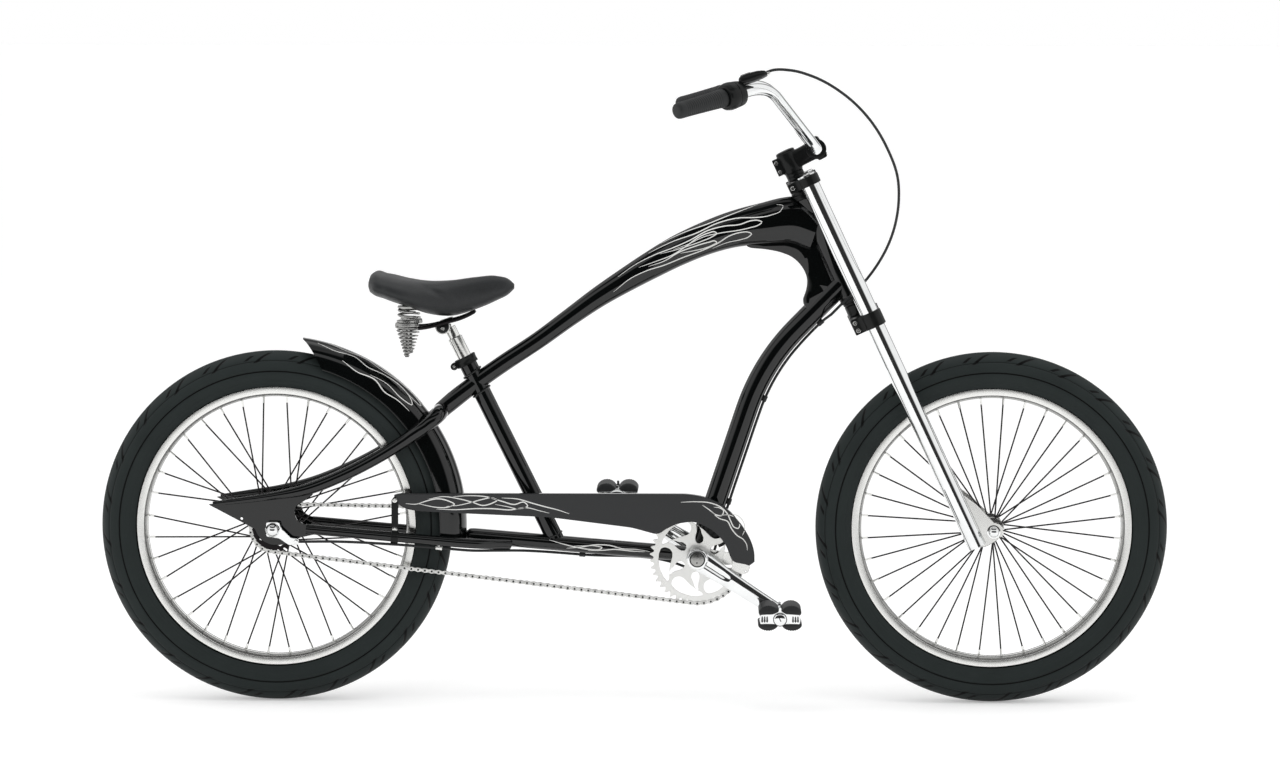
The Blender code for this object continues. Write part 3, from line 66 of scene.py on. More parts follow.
JOINTS = {joint["name"]: joint for joint in frame["joints"]}
RIDER_X = 285.0
RIDER_Z = 454.5
SIDES = ((-1, "right"), (1, "left"))
ACROSS = np.array([0.0, 1.0, 0.0])
UPRIGHT = np.array([0.0, 0.0, 1.0])
PAINT = "gloss_black_paint"
CHROME = "chrome"
ALLOY = "polished_alloy"
SATIN = "black_alloy"
RUBBER = "black_rubber"
DARK = "dark_steel"


def unit(vector):
    """A vector, or each row of several, divided by its length."""
    vector = np.asarray(vector, float)
    return vector / np.maximum(np.linalg.norm(vector, axis=-1, keepdims=True), 1e-12)


def joint_place(name):
    """Where a joint stands, in millimetres."""
    return np.array(JOINTS[name]["pos_m"], float) * 1000


UP = unit(JOINTS["steering_turn"]["axis"])
AHEAD = np.array([UP[2], 0.0, -UP[0]])
REAR_HUB = joint_place("rear_wheel_spin")
FRONT_HUB = joint_place("front_wheel_spin")
BRACKET = joint_place("crank_spin")
FORK_OFFSET = 55.5


def at(x, z, y=0.0):
    """A workshop point, or arrays of them, in the frame's own axes."""
    x, z, y = np.broadcast_arrays(np.asarray(x, float), z, y)
    return np.stack([x - RIDER_X, y, z - RIDER_Z], -1)


def steer(ahead, up, y=0.0):
    """A point given ahead of and along the steering axis, whose foot is level with the front axle."""
    ahead, up, y = (part[..., None] for part in np.broadcast_arrays(np.asarray(ahead, float), up, y))
    return FRONT_HUB + AHEAD * (ahead - FORK_OFFSET) + UP * up + ACROSS * y


def around_hub(radius, degrees, y=0.0, hub=REAR_HUB):
    """A point at a distance and an angle round a hub, in the side view."""
    radius, angle, y = np.broadcast_arrays(np.asarray(radius, float), np.radians(degrees), y)
    return hub + np.stack([radius * np.cos(angle), y, radius * np.sin(angle)], -1)


def table(columns, *numbers):
    """Rows of so many columns from a run of numbers."""
    return np.reshape(np.array(numbers, float), (-1, columns))


def turns(count):
    """Angles at equal steps round a circle."""
    return np.linspace(0, 2 * np.pi, count, endpoint=False)


def raised(value, power):
    """A number raised to a power with its sign kept."""
    return np.sign(value) * np.abs(value) ** power


def smooth_line(rows, count):
    """Cubic pieces through rows of numbers; each row's slope comes from its two neighbours by distance."""
    rows = np.asarray(rows, float)
    gaps = np.linalg.norm(np.diff(rows[:, :3], axis=0), axis=1)
    knots = np.concatenate([[0.0], np.cumsum(gaps)])
    slope = np.gradient(rows, knots, axis=0)
    place = np.linspace(0.0, knots[-1], count)
    span = np.clip(np.searchsorted(knots, place, side="right") - 1, 0, len(gaps) - 1)
    reach = gaps[span][:, None]
    t = (place - knots[span])[:, None] / reach
    return (rows[span] * (1 + 2 * t) * (1 - t) ** 2 + slope[span] * reach * t * (1 - t) ** 2
            + rows[span + 1] * t * t * (3 - 2 * t) + slope[span + 1] * reach * t * t * (t - 1))


def eased(points, reach, steps=6, closed=False):
    """A line with swept corners: at each one a parabola runs from reach before it to reach after it."""
    points = np.asarray(points, float)
    reach = np.broadcast_to(np.asarray(reach, float), len(points))[:, None]
    ends = []
    for way in (1, -1):
        arm = np.roll(points, way, 0) - points
        share = np.minimum(reach / np.linalg.norm(arm, axis=1, keepdims=True), 0.495)
        ends.append((points + arm * share)[:, None])
    t = np.linspace(0, 1, steps)[None, :, None]
    line = ends[0] * (1 - t) ** 2 + 2 * points[:, None] * t * (1 - t) + ends[1] * t * t
    if closed:
        return line.reshape(-1, points.shape[1])
    return np.concatenate([points[:1], line[1:-1].reshape(-1, points.shape[1]), points[-1:]])


def outline(reach, steps, *numbers):
    """A closed flat outline with swept corners, from a run of pairs."""
    return eased(table(2, *numbers), reach, steps, True)


def evened(path, count):
    """The same path with its points at equal steps of length."""
    run = np.concatenate([[0.0], np.cumsum(np.linalg.norm(np.diff(path, axis=0), axis=1))])
    place = np.linspace(0, run[-1], count)
    return np.stack([np.interp(place, run, column) for column in path.T], -1)


def oval(high, wide, power=2.0, count=48):
    """A superellipse: each half size times the cosine or sine raised to 2 over the power, signs kept."""
    angle = turns(count)
    return np.stack([np.multiply.outer(high, raised(np.cos(angle), 2 / power)),
                     np.multiply.outer(wide, raised(np.sin(angle), 2 / power))], -1)


def hole(radius, count, x, z):
    """A round loop about a flat point."""
    return oval(radius, radius, 2.0, count) + (x, z)


def rayed(radius, degrees):
    """Flat points at a distance and at angles round the origin."""
    angle = np.radians(degrees)
    return np.stack([radius * np.cos(angle), radius * np.sin(angle)], -1)


def laid(path, first, second, ring):
    """Carries a ring of (first, second) offsets along a path, on two directions."""
    return path[:, None] + first * ring[..., 0:1] + second * ring[..., 1:2]


def swept(path, ring, reference=ACROSS, closed=False):
    """Carries a ring along a path, square to it: its first offset is square to the reference too."""
    run = np.roll(path, -1, 0) - np.roll(path, 1, 0) if closed else np.gradient(path, axis=0)
    run = unit(run)
    first = unit(np.cross(run, reference))
    return laid(path, first[:, None], np.cross(first, run)[:, None], ring)


def wheel(axis, count):
    """Unit arms square to an axis, at equal steps round it."""
    one = unit(np.cross(axis, (0.31, 0.17, 0.94)))
    angle = turns(count)[:, None]
    return np.cos(angle) * one + np.sin(angle) * np.cross(axis, one)


def turned(profile, centre, axis, steps):
    """Turns (along, radius) pairs about an axis through a centre."""
    profile = table(2, *np.ravel(profile))[:, None]
    axis = unit(axis)
    return centre + profile[..., 0:1] * axis + profile[..., 1:2] * wheel(axis, steps)


def bevelled(low, high, radius, edge=0.8, inner=None):
    """The (along, radius) profile of a disc or collar with eased edges; inner makes it a ring."""
    core = radius * 0.02 if inner is None else inner
    step = 0.3 * edge
    return [low, core, low, radius - edge, low + step, radius - step, low + edge, radius,
            high - edge, radius, high - step, radius - step, high, radius - edge, high, core]


def inside(points, loop):
    """Which points lie in a closed loop: a line to the right of them crosses it an odd number of times."""
    x, y = points[:, 0:1], points[:, 1:2]
    ax, ay = loop.T
    bx, by = np.roll(ax, -1), np.roll(ay, -1)
    rise = np.where(by == ay, 1e-12, by - ay)
    return (((ay > y) != (by > y)) & (x < (bx - ax) * (y - ay) / rise + ax)).sum(1) % 2 == 1


def drawn_in(loop, amount):
    """A closed loop moved to its left side by an amount, along the mean of its two sides' directions."""
    run = unit(unit(np.roll(loop, -1, 0) - loop) + unit(loop - np.roll(loop, 1, 0)))
    return loop + np.stack([-run[:, 1], run[:, 0]], -1) * amount


def wound(loop, way):
    """A closed loop listed anticlockwise for way 1 and clockwise for way -1."""
    following = np.roll(loop, -1, 0)
    area = np.sum(loop[:, 0] * following[:, 1] - following[:, 0] * loop[:, 1])
    return loop if area * way > 0 else loop[::-1]


class Solid:
    """Gathers closed patches of points into one mesh, each turned so that its faces point outwards."""

    def __init__(self):
        self.points = []
        self.corners = []
        self.sizes = []
        self.flow = []
        self.slots = []
        self.count = 0

    def add(self, points, faces, flow=None, slot=0):
        """Takes one patch: its points, its faces as rows of point numbers, and a map place per corner."""
        volume = 0.0
        for block in faces:
            for step in range(1, block.shape[1] - 1):
                first, second, third = (points[block[:, corner]] for corner in (0, step, step + 1))
                volume += np.sum(first * np.cross(second, third))
        turn = -1 if volume < 0 else 1
        for number, block in enumerate(faces):
            places = flow[number] if flow else np.zeros((*block.shape, 2))
            self.corners.append((block[:, ::turn] + self.count).ravel())
            self.sizes.append(np.full(len(block), block.shape[1]))
            self.flow.append(places[:, ::turn].reshape(-1, 2))
            self.slots.append(np.full(len(block), slot))
        self.points.append(points)
        self.count += len(points)
        return self

    def grid(self, points, closed=False, slot=0):
        """A patch whose columns go round; its first and last rows are capped, or joined if closed."""
        rows, columns = points.shape[:2]
        i, j = np.meshgrid(np.arange(rows if closed else rows - 1), np.arange(columns), indexing="ij")
        i, j = i[..., None] + (0, 0, 1, 1), j[..., None] + (0, 1, 1, 0)
        faces = [(i % rows * columns + j % columns).reshape(-1, 4)]
        flow = [np.stack([i / rows, j / columns], -1).reshape(-1, 4, 2)]
        if not closed:
            ends = np.stack([np.arange(columns)[::-1], (rows - 1) * columns + np.arange(columns)])
            faces.append(ends)
            flow.append(np.stack([ends // columns / rows, ends % columns / columns], -1))
        return self.add(points.reshape(-1, 3), faces, flow, slot)

    def lathe(self, profile, centre, axis, steps=48, slot=0):
        """A turned patch, closed at both ends."""
        return self.grid(turned(profile, centre, axis, steps), slot=slot)

    def both(self, profile, centre, steps=48, slot=0):
        """The same turned patch to the right and to the left of a centre."""
        for side, _ in SIDES:
            self.lathe(profile, centre, ACROSS * side, steps, slot)
        return self

    def tube(self, path, radius, sides=40, reference=ACROSS):
        """A round tube along a path; radius is one number or one for each point of the path."""
        radius = np.broadcast_to(radius, len(path))
        return self.grid(swept(path, oval(radius, radius, 2.0, sides), reference))

    def bead(self, centre, axis, radius, thickness, steps=48, wobble=0.0):
        """A weld bead: a small ring round a tube, its thickness rippling along its length."""
        axis = unit(axis)
        thick = thickness * (1 + wobble * np.sin(turns(steps * 3) * steps / 2))
        ring = oval(thick, thick, 2.0, 10)
        return self.grid(swept(centre + wheel(axis, steps * 3) * radius, ring, axis, True), True)

    def boxed(self, centre, axes, halves, power=6.0, edge=1.2):
        """A block with soft corners: superellipse sections that shrink over the last of its length."""
        run, first, second = (unit(axis) for axis in axes)
        share = np.array([edge, .3 * edge, 0, 0, .3 * edge, edge])
        reach = (halves[0] - share[[2, 1, 0, 0, 1, 2]]) * (-1, -1, -1, 1, 1, 1)
        path = centre + run * reach[:, None]
        return self.grid(laid(path, first, second, oval(halves[1] - share, halves[2] - share, power, 56)))

    def prisms(self, points):
        """Many like prisms: points is (places, the points of one end and then of the other, 3)."""
        count, size = points.shape[:2]
        near = np.arange(size // 2)
        on, far = np.roll(near, -1), near + size // 2
        shift = (np.arange(count) * size)[:, None, None]
        faces = (np.stack([near, on, on + size // 2, far], -1), np.stack([near[::-1], far]))
        faces = [(block + shift).reshape(-1, block.shape[1]) for block in faces]
        return self.add(points.reshape(-1, 3), faces)

    def rods(self, starts, ends, radius, sides=8):
        """Straight round rods between rows of start and end points."""
        run = unit(ends - starts)
        one = unit(np.cross(run, np.where(np.abs(run[:, 1:2]) > 0.9, (1.0, 0.0, 0.0), ACROSS)))
        angle = turns(sides)[None, :, None]
        ring = (np.cos(angle) * one[:, None] + np.sin(angle) * np.cross(run, one)[:, None]) * radius
        return self.prisms(np.concatenate([starts[:, None] + ring, ends[:, None] + ring], 1))

    def plate(self, loops, low, high, edge, place=at, slot=0):
        """A flat plate with eased edges: the first loop is its outline and the rest are holes.

        Its faces are triangles between the loops, and place puts two flat coordinates and a height
        into the frame's axes.
        """
        loops = [wound(loop, -1 if number else 1) for number, loop in enumerate(loops)]
        flat = np.concatenate(loops)
        total = len(flat)
        starts = np.cumsum([0] + [len(loop) for loop in loops])
        spans = [np.arange(a, b) for a, b in zip(starts, starts[1:])]
        edges = np.concatenate([np.stack([span, np.roll(span, -1)], -1) for span in spans])
        found = delaunay_2d_cdt([Vector(p) for p in flat.tolist()], edges.tolist(), [], 0, 1e-4, False)
        if len(found[0]) != total:
            raise ValueError("a plate's loops cross or touch")
        triangles = np.array(found[2])
        middle = np.array([list(p) for p in found[0]])[triangles].mean(1)
        keep = inside(middle, loops[0])
        for loop in loops[1:]:
            keep &= ~inside(middle, loop)
        triangles = triangles[keep]
        points = [place(*np.concatenate([drawn_in(loop, inset) for loop in loops]).T, height)
                  for inset, height in ((edge, low), (0.0, low + edge), (0.0, high - edge), (edge, high))]
        walls = edges[None, :, [0, 1, 1, 0]] + (0, 0, total, total)
        walls = (walls + np.arange(3)[:, None, None] * total).reshape(-1, 4)
        caps = np.concatenate([triangles[:, ::-1], triangles + 3 * total])
        flow = np.tile(flat, (4, 1)) / 1000
        return self.add(np.concatenate(points), [walls, caps], [flow[walls], flow[caps]], slot)

    def mesh(self, name):
        """The gathered patches as a Blender mesh, in metres."""
        made = bpy.data.meshes.new(name)
        points = (np.concatenate(self.points) / 1000).astype(np.float32)
        corners = np.concatenate(self.corners).astype(np.int32)
        sizes = np.concatenate(self.sizes)
        made.vertices.add(len(points))
        made.vertices.foreach_set("co", points.ravel())
        made.loops.add(len(corners))
        made.loops.foreach_set("vertex_index", corners)
        made.polygons.add(len(sizes))
        made.polygons.foreach_set("loop_start", (np.cumsum(sizes) - sizes).astype(np.int32))
        made.polygons.foreach_set("material_index", np.concatenate(self.slots).astype(np.int32))
        layer = made.uv_layers.new(name="Surface")
        made.update(calc_edges=True)
        layer.data.foreach_set("uv", np.concatenate(self.flow).astype(np.float32).ravel())
        made.validate()
        return made


def set_down(name, solid, finishes, nodes="", body="frame", slot=None, sharp=36.0):
    """Makes the piece's object with its finishes; it rides on its body and replaces the named nodes."""
    finishes = finishes.split()
    made = solid.mesh(name)
    for finish in finishes:
        made.materials.append(finish_called(finish))
    made.shade_smooth()
    made.set_sharp_from_angle(angle=math.radians(sharp))
    item = bpy.data.objects.new(name, made)
    bpy.context.scene.collection.objects.link(item)
    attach(item, body)
    if nodes:
        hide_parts(*nodes.split())
    if slot != "":
        slot or finishes[0]
    return item


class Term:
    """A node's output that can be written in a sum; each operator adds its own Math node."""

    def __init__(self, finish, socket):
        self.finish = finish
        self.socket = socket

    def reckon(self, operation, *others):
        """One Math node of that operation on this term and the others."""
        return self.finish.node("ShaderNodeMath", {"operation": operation}, dict(enumerate((self, *others))))

    def __add__(self, other):
        return self.reckon("ADD", other)

    def __mul__(self, other):
        return self.reckon("MULTIPLY", other)

    def __sub__(self, other):
        return self.reckon("SUBTRACT", other)

    def __rsub__(self, other):
        return self * -1.0 + other

    def __abs__(self):
        return self.reckon("ABSOLUTE")

    __radd__ = __add__
    __rmul__ = __mul__

    def fraction(self):
        """What is left after the whole number."""
        return self.reckon("FRACT")

    def ramp(self, low, high):
        """0 up to low, 1 from high, and a smooth step between them."""
        values = {"Value": self, "From Min": low, "From Max": high}
        return self.finish.node("ShaderNodeMapRange", {"interpolation_type": "SMOOTHSTEP"}, values)


class Finish:
    """A node-based material whose patterns are written as sums of terms."""

    def __init__(self, name, tree=None):
        if tree is None:
            self.material = bpy.data.materials.new(name)
            self.material.use_nodes = True
            tree = self.material.node_tree
            self.shader = tree.nodes["Principled BSDF"]
        self.tree = tree

    def feed(self, sockets, values):
        """Links terms to sockets, and sets numbers and colours on them."""
        for key, value in values.items():
            if isinstance(value, Term):
                self.tree.links.new(value.socket, sockets[key])
            else:
                sockets[key].default_value = value

    def node(self, kind, settings=None, values=None, output=0):
        """Adds any node: its settings first, then the values or links of its sockets."""
        made = self.tree.nodes.new(kind)
        for key, value in (settings or {}).items():
            setattr(made, key, value)
        self.feed(made.inputs, values or {})
        return Term(self, made.outputs[output]) if made.outputs else None

    def parts(self, vector, count):
        """The first numbers of a vector as terms."""
        return [self.node("ShaderNodeSeparateXYZ", values={0: vector}, output=n) for n in range(count)]

    def place(self):
        """Where the shaded point is, in the object's own coordinates."""
        return self.node("ShaderNodeTexCoord", output="Object")

    def noise(self, scale, detail=2.0, stretch=(1.0, 1.0, 1.0)):
        """A cloud pattern from 0 to 1 with so many waves a metre, stretched along the axes."""
        spot = self.node("ShaderNodeMapping", values={"Vector": self.place(), "Scale": stretch})
        return self.node("ShaderNodeTexNoise", values={"Vector": spot, "Scale": scale, "Detail": detail})

    def mix(self, factor, first, second):
        """A colour between two colours."""
        return self.node("ShaderNodeMix", {"data_type": "RGBA"}, {0: factor, 6: first, 7: second}, 2)

    def shade(self, factor, colour, first, second):
        """A colour between two shares of one colour."""
        return self.mix(factor, scaled(colour, first), scaled(colour, second))

    def bump(self, height, depth, strength=1.0):
        """Tilts the surface by a height pattern whose full step is depth metres."""
        values = {"Height": height, "Distance": depth, "Strength": strength}
        return self.node("ShaderNodeBump", values=values)

    def wear(self, **links):
        """Feeds the shader's sockets; their names have _ for a space."""
        self.feed(self.shader.inputs, {key.replace("_", " "): value for key, value in links.items()})


def scaled(colour, share):
    """A colour made lighter or darker, with its alpha."""
    return (*(min(1.0, part * share) for part in colour[:3]), 1.0)


def painted(finish, colours):
    """Gloss paint under clear coat: faint cloudiness in the colour and a fine ripple in the coat."""
    finish.wear(Base_Color=finish.shade(finish.noise(22.0, 3.0), colours.paint, .7, 1.35),
                Roughness=finish.noise(60.0) * .10 + .22, Metallic=0.0, Specular_IOR_Level=0.0,
                Coat_Weight=1.0, Coat_Roughness=.03,
                Normal=finish.bump(finish.noise(260.0, 1.0), .00001, .2))


def plated(finish, colours):
    """Chrome: bright, with a slight haze that varies over the surface."""
    haze = finish.noise(35.0, 3.0).ramp(.35, .75)
    finish.wear(Base_Color=finish.shade(haze, colours.chrome, 1.0, .93), Roughness=haze * .05 + .035,
                Metallic=1.0)


def polished(finish, colours):
    """Polished alloy: fine marks across the surface and a soft haze."""
    marks = finish.noise(160.0, 1.0, (1.0, .06, 1.0))
    haze = finish.noise(30.0)
    finish.wear(Base_Color=finish.shade(haze, colours.alloy, .96, 1.04),
                Roughness=haze * .08 + marks * .02 + .14, Metallic=1.0)


def anodised(finish, colours):
    """Black alloy: satin, with a fine grain and slightly lighter high spots."""
    grain = finish.noise(1500.0)
    finish.wear(Base_Color=finish.shade(finish.noise(40.0, 3.0), colours.black_alloy, .75, 1.4),
                Roughness=grain * .12 + .27, Metallic=0.0, Specular_IOR_Level=.1, Coat_Weight=.2,
                Coat_Roughness=.12, Normal=finish.bump(grain, .00003, .2))


def moulded(finish, colours):
    """Black rubber: matt, with fine pores and a dusty cloud."""
    pores = finish.noise(1100.0, 3.0)
    cloud = finish.noise(26.0, 3.0)
    finish.wear(Base_Color=finish.shade(cloud, colours.rubber, .8, 1.35),
                Roughness=cloud * .12 + pores * .1 + .42, Metallic=0.0, Specular_IOR_Level=.35,
                Normal=finish.bump(pores, .00008, .5))


def gripped(finish, colours):
    """Tyre rubber: slanted sipes and two thin grooves on both shoulders, bumped in and mixed to near-black
    as painted shade inside them, a scuffed crown, mould grain.
    """
    along, across = finish.parts(finish.node("ShaderNodeUVMap", {"uv_map": "Surface"}), 2)
    grain = finish.noise(1300.0)
    cloud = finish.noise(18.0, 3.0)
    away = abs(across - .3947)
    crown = 1.0 - away.ramp(0.0, .13)
    # Sipes and grooves as one mask: it sets the bump depth and also the painted shade that darkens them.
    cut_depth_and_shade = (1.0 - abs(away - .2549).ramp(.003, .007)) + (1.0 - abs(away - .1616).ramp(.002, .005)) * .6
    for middle, way in ((.2700, -1.0), (.5194, 1.0)):
        for phase, length in ((0.0, .046), (.30, .018)):
            shift = across - middle
            line = abs((along * 24.0 + shift * (way * 3.3) + phase).fraction() - .5)
            cut_depth_and_shade = cut_depth_and_shade + (1.0 - line.ramp(.034, .060)) * (1.0 - abs(shift).ramp(length, length + .012))
    base = finish.shade(cloud, colours.tyre, .85, 1.2)
    # Painted shade: the sipes and grooves are mixed to a near-black tyre colour.
    finish.wear(Base_Color=finish.mix(cut_depth_and_shade, base, scaled(colours.tyre, .05)),
                Roughness=cloud * .1 + crown * .08 + grain * .06 + .44, Metallic=0.0,
                Specular_IOR_Level=.13, Normal=finish.bump(grain * .04 - cut_depth_and_shade, .0012, .8))


def covered(finish, colours):
    """Saddle cover: soft grained skin with small cells and a satin cloud."""
    cells = finish.node("ShaderNodeTexVoronoi", {"feature": "DISTANCE_TO_EDGE"},
                        {"Vector": finish.place(), "Scale": 620.0}).ramp(.02, .28)
    cloud = finish.noise(30.0, 4.0)
    base = finish.shade(cloud, colours.cover, .8, 1.3)
    finish.wear(Base_Color=finish.mix(cells, scaled(colours.cover, .55), base),
                Roughness=cloud * .12 + .42, Metallic=0.0, Specular_IOR_Level=.4,
                Normal=finish.bump(cells, .00020, .4))


def darkened(finish, colours):
    """Dark steel of spokes, bolts and wire: satin metal with faint tarnish."""
    cloud = finish.noise(140.0, 3.0)
    finish.wear(Base_Color=finish.shade(cloud, colours.steel, .8, 1.25), Roughness=cloud * .15 + .28,
                Metallic=1.0)


def lined(finish, colours):
    """Pinstripe enamel: off-white with brushed thickness along the stroke."""
    stroke = finish.noise(500.0)
    finish.wear(Base_Color=finish.shade(stroke, colours.stripe, .82, 1.0), Roughness=stroke * .1 + .25,
                Coat_Weight=.6, Normal=finish.bump(stroke, .00004, .4))


def sheeted(finish, colours):
    """The guard's sheet: satin black with a soft mottle and a fine orange-peel."""
    cloud = finish.noise(14.0, 3.0)
    finish.wear(Base_Color=finish.shade(cloud, colours.guard, .85, 1.2), Roughness=cloud * .08 + .30,
                Specular_IOR_Level=0.0, Coat_Weight=.8, Coat_Roughness=.06,
                Normal=finish.bump(finish.noise(700.0, 1.0), .00001, .2))


def bright(finish, colours):
    """The chainring's alloy: pale, finely brushed and softly hazed."""
    haze = finish.noise(40.0, 3.0)
    marks = finish.noise(1400.0)
    finish.wear(Base_Color=finish.shade(haze, colours.alloy, 1.08, 1.18),
                Roughness=haze * .08 + marks * .06 + .22, Metallic=1.0,
                Normal=finish.bump(marks, .00002, .2))


def sprung(finish, colours):
    """Spring wire: grey plated steel with a soft tarnish."""
    cloud = finish.noise(120.0)
    finish.wear(Base_Color=finish.shade(cloud, colours.alloy, .38, .54), Roughness=cloud * .08 + .20,
                Metallic=1.0)


def greased(finish, colours):
    """Chain steel: bright links with oily shade in patches."""
    cloud = finish.noise(160.0, 3.0)
    finish.wear(Base_Color=finish.shade(cloud.ramp(.40, .80), colours.alloy, .98, .7),
                Roughness=cloud * .2 + .2, Metallic=1.0)


RECIPES = {PAINT: painted, CHROME: plated, ALLOY: polished, SATIN: anodised, RUBBER: moulded, DARK: darkened,
           "tyre_rubber": gripped, "saddle_cover": covered, "pinstripe": lined, "chain_steel": greased,
           "guard_paint": sheeted, "ring_alloy": bright, "spring_steel": sprung}


def finish_called(name):
    """The material of that name, made once from its recipe."""
    known = bpy.data.materials.get("bike_" + name)
    if known is None:
        finish = Finish("bike_" + name)
        RECIPES[name](finish, bpy.context.scene.bike_colours)
        known = finish.material
    return known


def colour(name, description, *shade):
    """A colour setting."""
    return bpy.props.FloatVectorProperty(name=name, description=description, default=shade,
                                         subtype="COLOR", min=0, max=1)


class BikeColours(bpy.types.PropertyGroup):
    """The colours of the bicycle's finishes."""

    paint: colour("Paint", "Gloss paint on the frame", .0015, .0020, .0020)
    guard: colour("Guard", "Satin paint on the chain guard", .008, .009, .010)
    stripe: colour("Pinstripe", "Enamel of the pinstripes", .78, .78, .76)
    chrome: colour("Chrome", "Plated fork, bar and nuts", .86, .87, .87)
    alloy: colour("Alloy", "Polished rims, hubs and post", .80, .80, .78)
    black_alloy: colour("Black alloy", "Crowns, stem and headset", .006, .0065, .0065)
    rubber: colour("Rubber", "Grips, treads and cable jacket", .014, .015, .0155)
    tyre: colour("Tyre", "Tyre rubber", .0175, .0225, .0220)
    cover: colour("Saddle cover", "Skin of the saddle", .020, .022, .0235)
    steel: colour("Steel", "Spokes, nuts and wire", .022, .020, .021)


class BikeSizes(bpy.types.PropertyGroup):
    """The sizes that a user would change."""

    spokes: bpy.props.IntProperty(name="Spokes", description="Spokes in each wheel", default=36, min=12)
    spoke_thickness: bpy.props.FloatProperty(name="Spoke", description="Diameter of a spoke",
                                             default=.0029, unit="LENGTH")
    stripe_width: bpy.props.FloatProperty(name="Stripe width", description="Widest part of a pinstripe",
                                          default=.0021, unit="LENGTH")
    coil_turns: bpy.props.FloatProperty(name="Coil turns", description="Turns of each saddle spring",
                                        default=8.5, min=3)


class BikeStage(bpy.types.PropertyGroup):
    """The camera, floor and light."""

    lens: bpy.props.FloatProperty(name="Lens", description="Focal length in millimetres", default=121.95,
                                  min=20)
    floor: bpy.props.FloatProperty(name="Floor", description="Height of the floor", default=-.7802,
                                   unit="LENGTH")
    lamp: bpy.props.FloatProperty(name="Lamps", description="Share of the plain lamp level", default=1.0,
                                  min=0)


# Top tube: x, z, half height, half width
TANK = table(4, 1000, 556.5, 46, 24, 966, 567.5, 44.5, 24, 900, 561.5, 38.5, 24, 843, 550.5, 33.5, 24,
             795, 534.5, 30.5, 23.5, 745, 512.5, 28.5, 23, 692, 483.5, 25.5, 22, 648, 457.5, 22.5, 20.5,
             600, 427.5, 19.5, 18.5, 545, 388.5, 17, 16.5, 489, 347.5, 16, 16, 420, 301.5, 16, 16,
             372, 267.5, 16, 16, 312, 220, 15.8, 15.8, 303, 212, 15, 15.2, 300, 209.2, 12.8, 14,
             299, 208.2, 9, 11)
TANK_POWER = 2.3
TANK_FINE = 420


def tank_line():
    """The top tube's centre points and half sizes from the head to the tail, evenly spaced."""
    x, z, high, wide = TANK.T
    return smooth_line(np.stack([x, 0 * x, z, high, wide], -1), TANK_FINE)


def tank_skin(share, turn, lift=0.0):
    """Points on the top tube: share from the head to the tail, turn round the section in radians.

    The section is a superellipse square to the centre line, and lift moves a point outwards.
    """
    line = tank_line()
    share, turn = np.broadcast_arrays(np.asarray(share, float), turn)
    columns = [*line[:, [0, 2, 3, 4]].T, *np.gradient(line[:, [0, 2]], axis=0).T]
    x, z, high, wide, *slope = (np.interp(share * (TANK_FINE - 1), np.arange(TANK_FINE), column)
                                for column in columns)
    along = unit(np.stack(slope, -1))
    up = (high + lift) * raised(np.cos(turn), 2 / TANK_POWER)
    side = (wide + lift) * raised(np.sin(turn), 2 / TANK_POWER)
    return at(x + along[..., 1] * up, z - along[..., 0] * up, side)


def make_tank():
    """The top tube as one skin from the head tube to the seat stays, and the thick web below it."""
    skin = tank_skin(np.linspace(0, 1, 150)[:, None], turns(72))
    set_down("top_tube_skin", Solid().grid(skin), PAINT, "top_tube top_tube_tail", sharp=50)
    web = outline(9, 5, 862, 532.5, 872, 517.5, 905, 515, 930, 510.5, 952, 502.5, 966, 491.5, 977, 476.5,
                  983, 459.5, 981, 439.5, 973, 419.5, 985, 394.5, 1057, 439.5, 1012, 536.5)
    thinner = 0.0064
    solid = Solid().plate([web], -12.6, 12.6, 3.5, lambda x, z, y: at(x, z, y * (1 - thinner * (z - 465))))
    set_down("head_web", solid, PAINT, "head_gusset", sharp=80)


class BIKE_OT_tank(bpy.types.Operator):
    """Build the top tube and the web behind the head tube"""

    bl_idname = "bike.tank"
    bl_label = "Top tube"

    def execute(self, context):
        make_tank()
        return {"FINISHED"}


STEERER = steer(0, 0)
SEAT_TOP = at(348.5, 314.5)
SEAT_FOOT = at(520.4, -31.9)
SEAT_RUN = unit(SEAT_TOP - SEAT_FOOT)
DOWN_TUBE = evened(eased(table(2, 1050.5, 457, 900.3, 304.2, 781, -52.5), 92.3, 24), 90)
# Seat stay: x, z, y, radius
SEAT_STAY = table(4, 305, 213.5, 0, 15, 305, 213.2, 22, 15, 304, 211.5, 42, 14.7, 297.5, 205, 56.5, 14,
                  279, 190, 63.5, 12.8, 245, 166, 63.5, 12.1, 180, 126, 63.5, 11.6, 120, 96, 64.5, 11.4,
                  60, 73, 65, 10.8, 0, 61, 65.5, 7.4, -60, 52.5, 65.5, 6, -112, 46, 65.5, 4.3)
# Chain stay: x, z, y
CHAIN_STAY = table(3, 60, -.1, 66.5, 372, -27, 66.5, 432, -32.5, 22)
HEAD_TUBE = (500, 12, 500, 21.4, 500.6, 22.5, 505, 22.5, 505.8, 22, 693.2, 22, 694, 22.5, 698.4, 22.5,
             699, 21.4, 699, 12)
HEADSET = {"lower": (484.7, 13, 484.7, 19.6, 485.2, 20.5, 488, 21.4, 488.6, 20.8, 489.4, 20.8, 490.2, 23.2,
                     491.2, 23.5, 499, 23.5, 499.7, 22.9, 499.7, 13),
           "upper": (699.3, 13, 699.3, 22.9, 700, 23.5, 707.2, 23.5, 708, 23, 708.6, 21.2, 709.4, 21.2,
                     710.2, 22.6, 713, 22.8, 716, 21.4, 717.8, 20, 718.3, 19, 718.3, 13)}
LOWER_START = np.array([353.3, -18.0])
LOWER_RUN = np.array([427.7, -35.5])
LOWER_HIGH = 14.2
LOWER_WIDE = 20.0
LOWER_POWER = 2.4
SHELL = (-34, 15, -34, 22.9, -33.4, 23.5, -30, 23.5, -29.6, 23.1, 29.6, 23.1, 30, 23.5, 33.4, 23.5,
         34, 22.9, 34, 15)


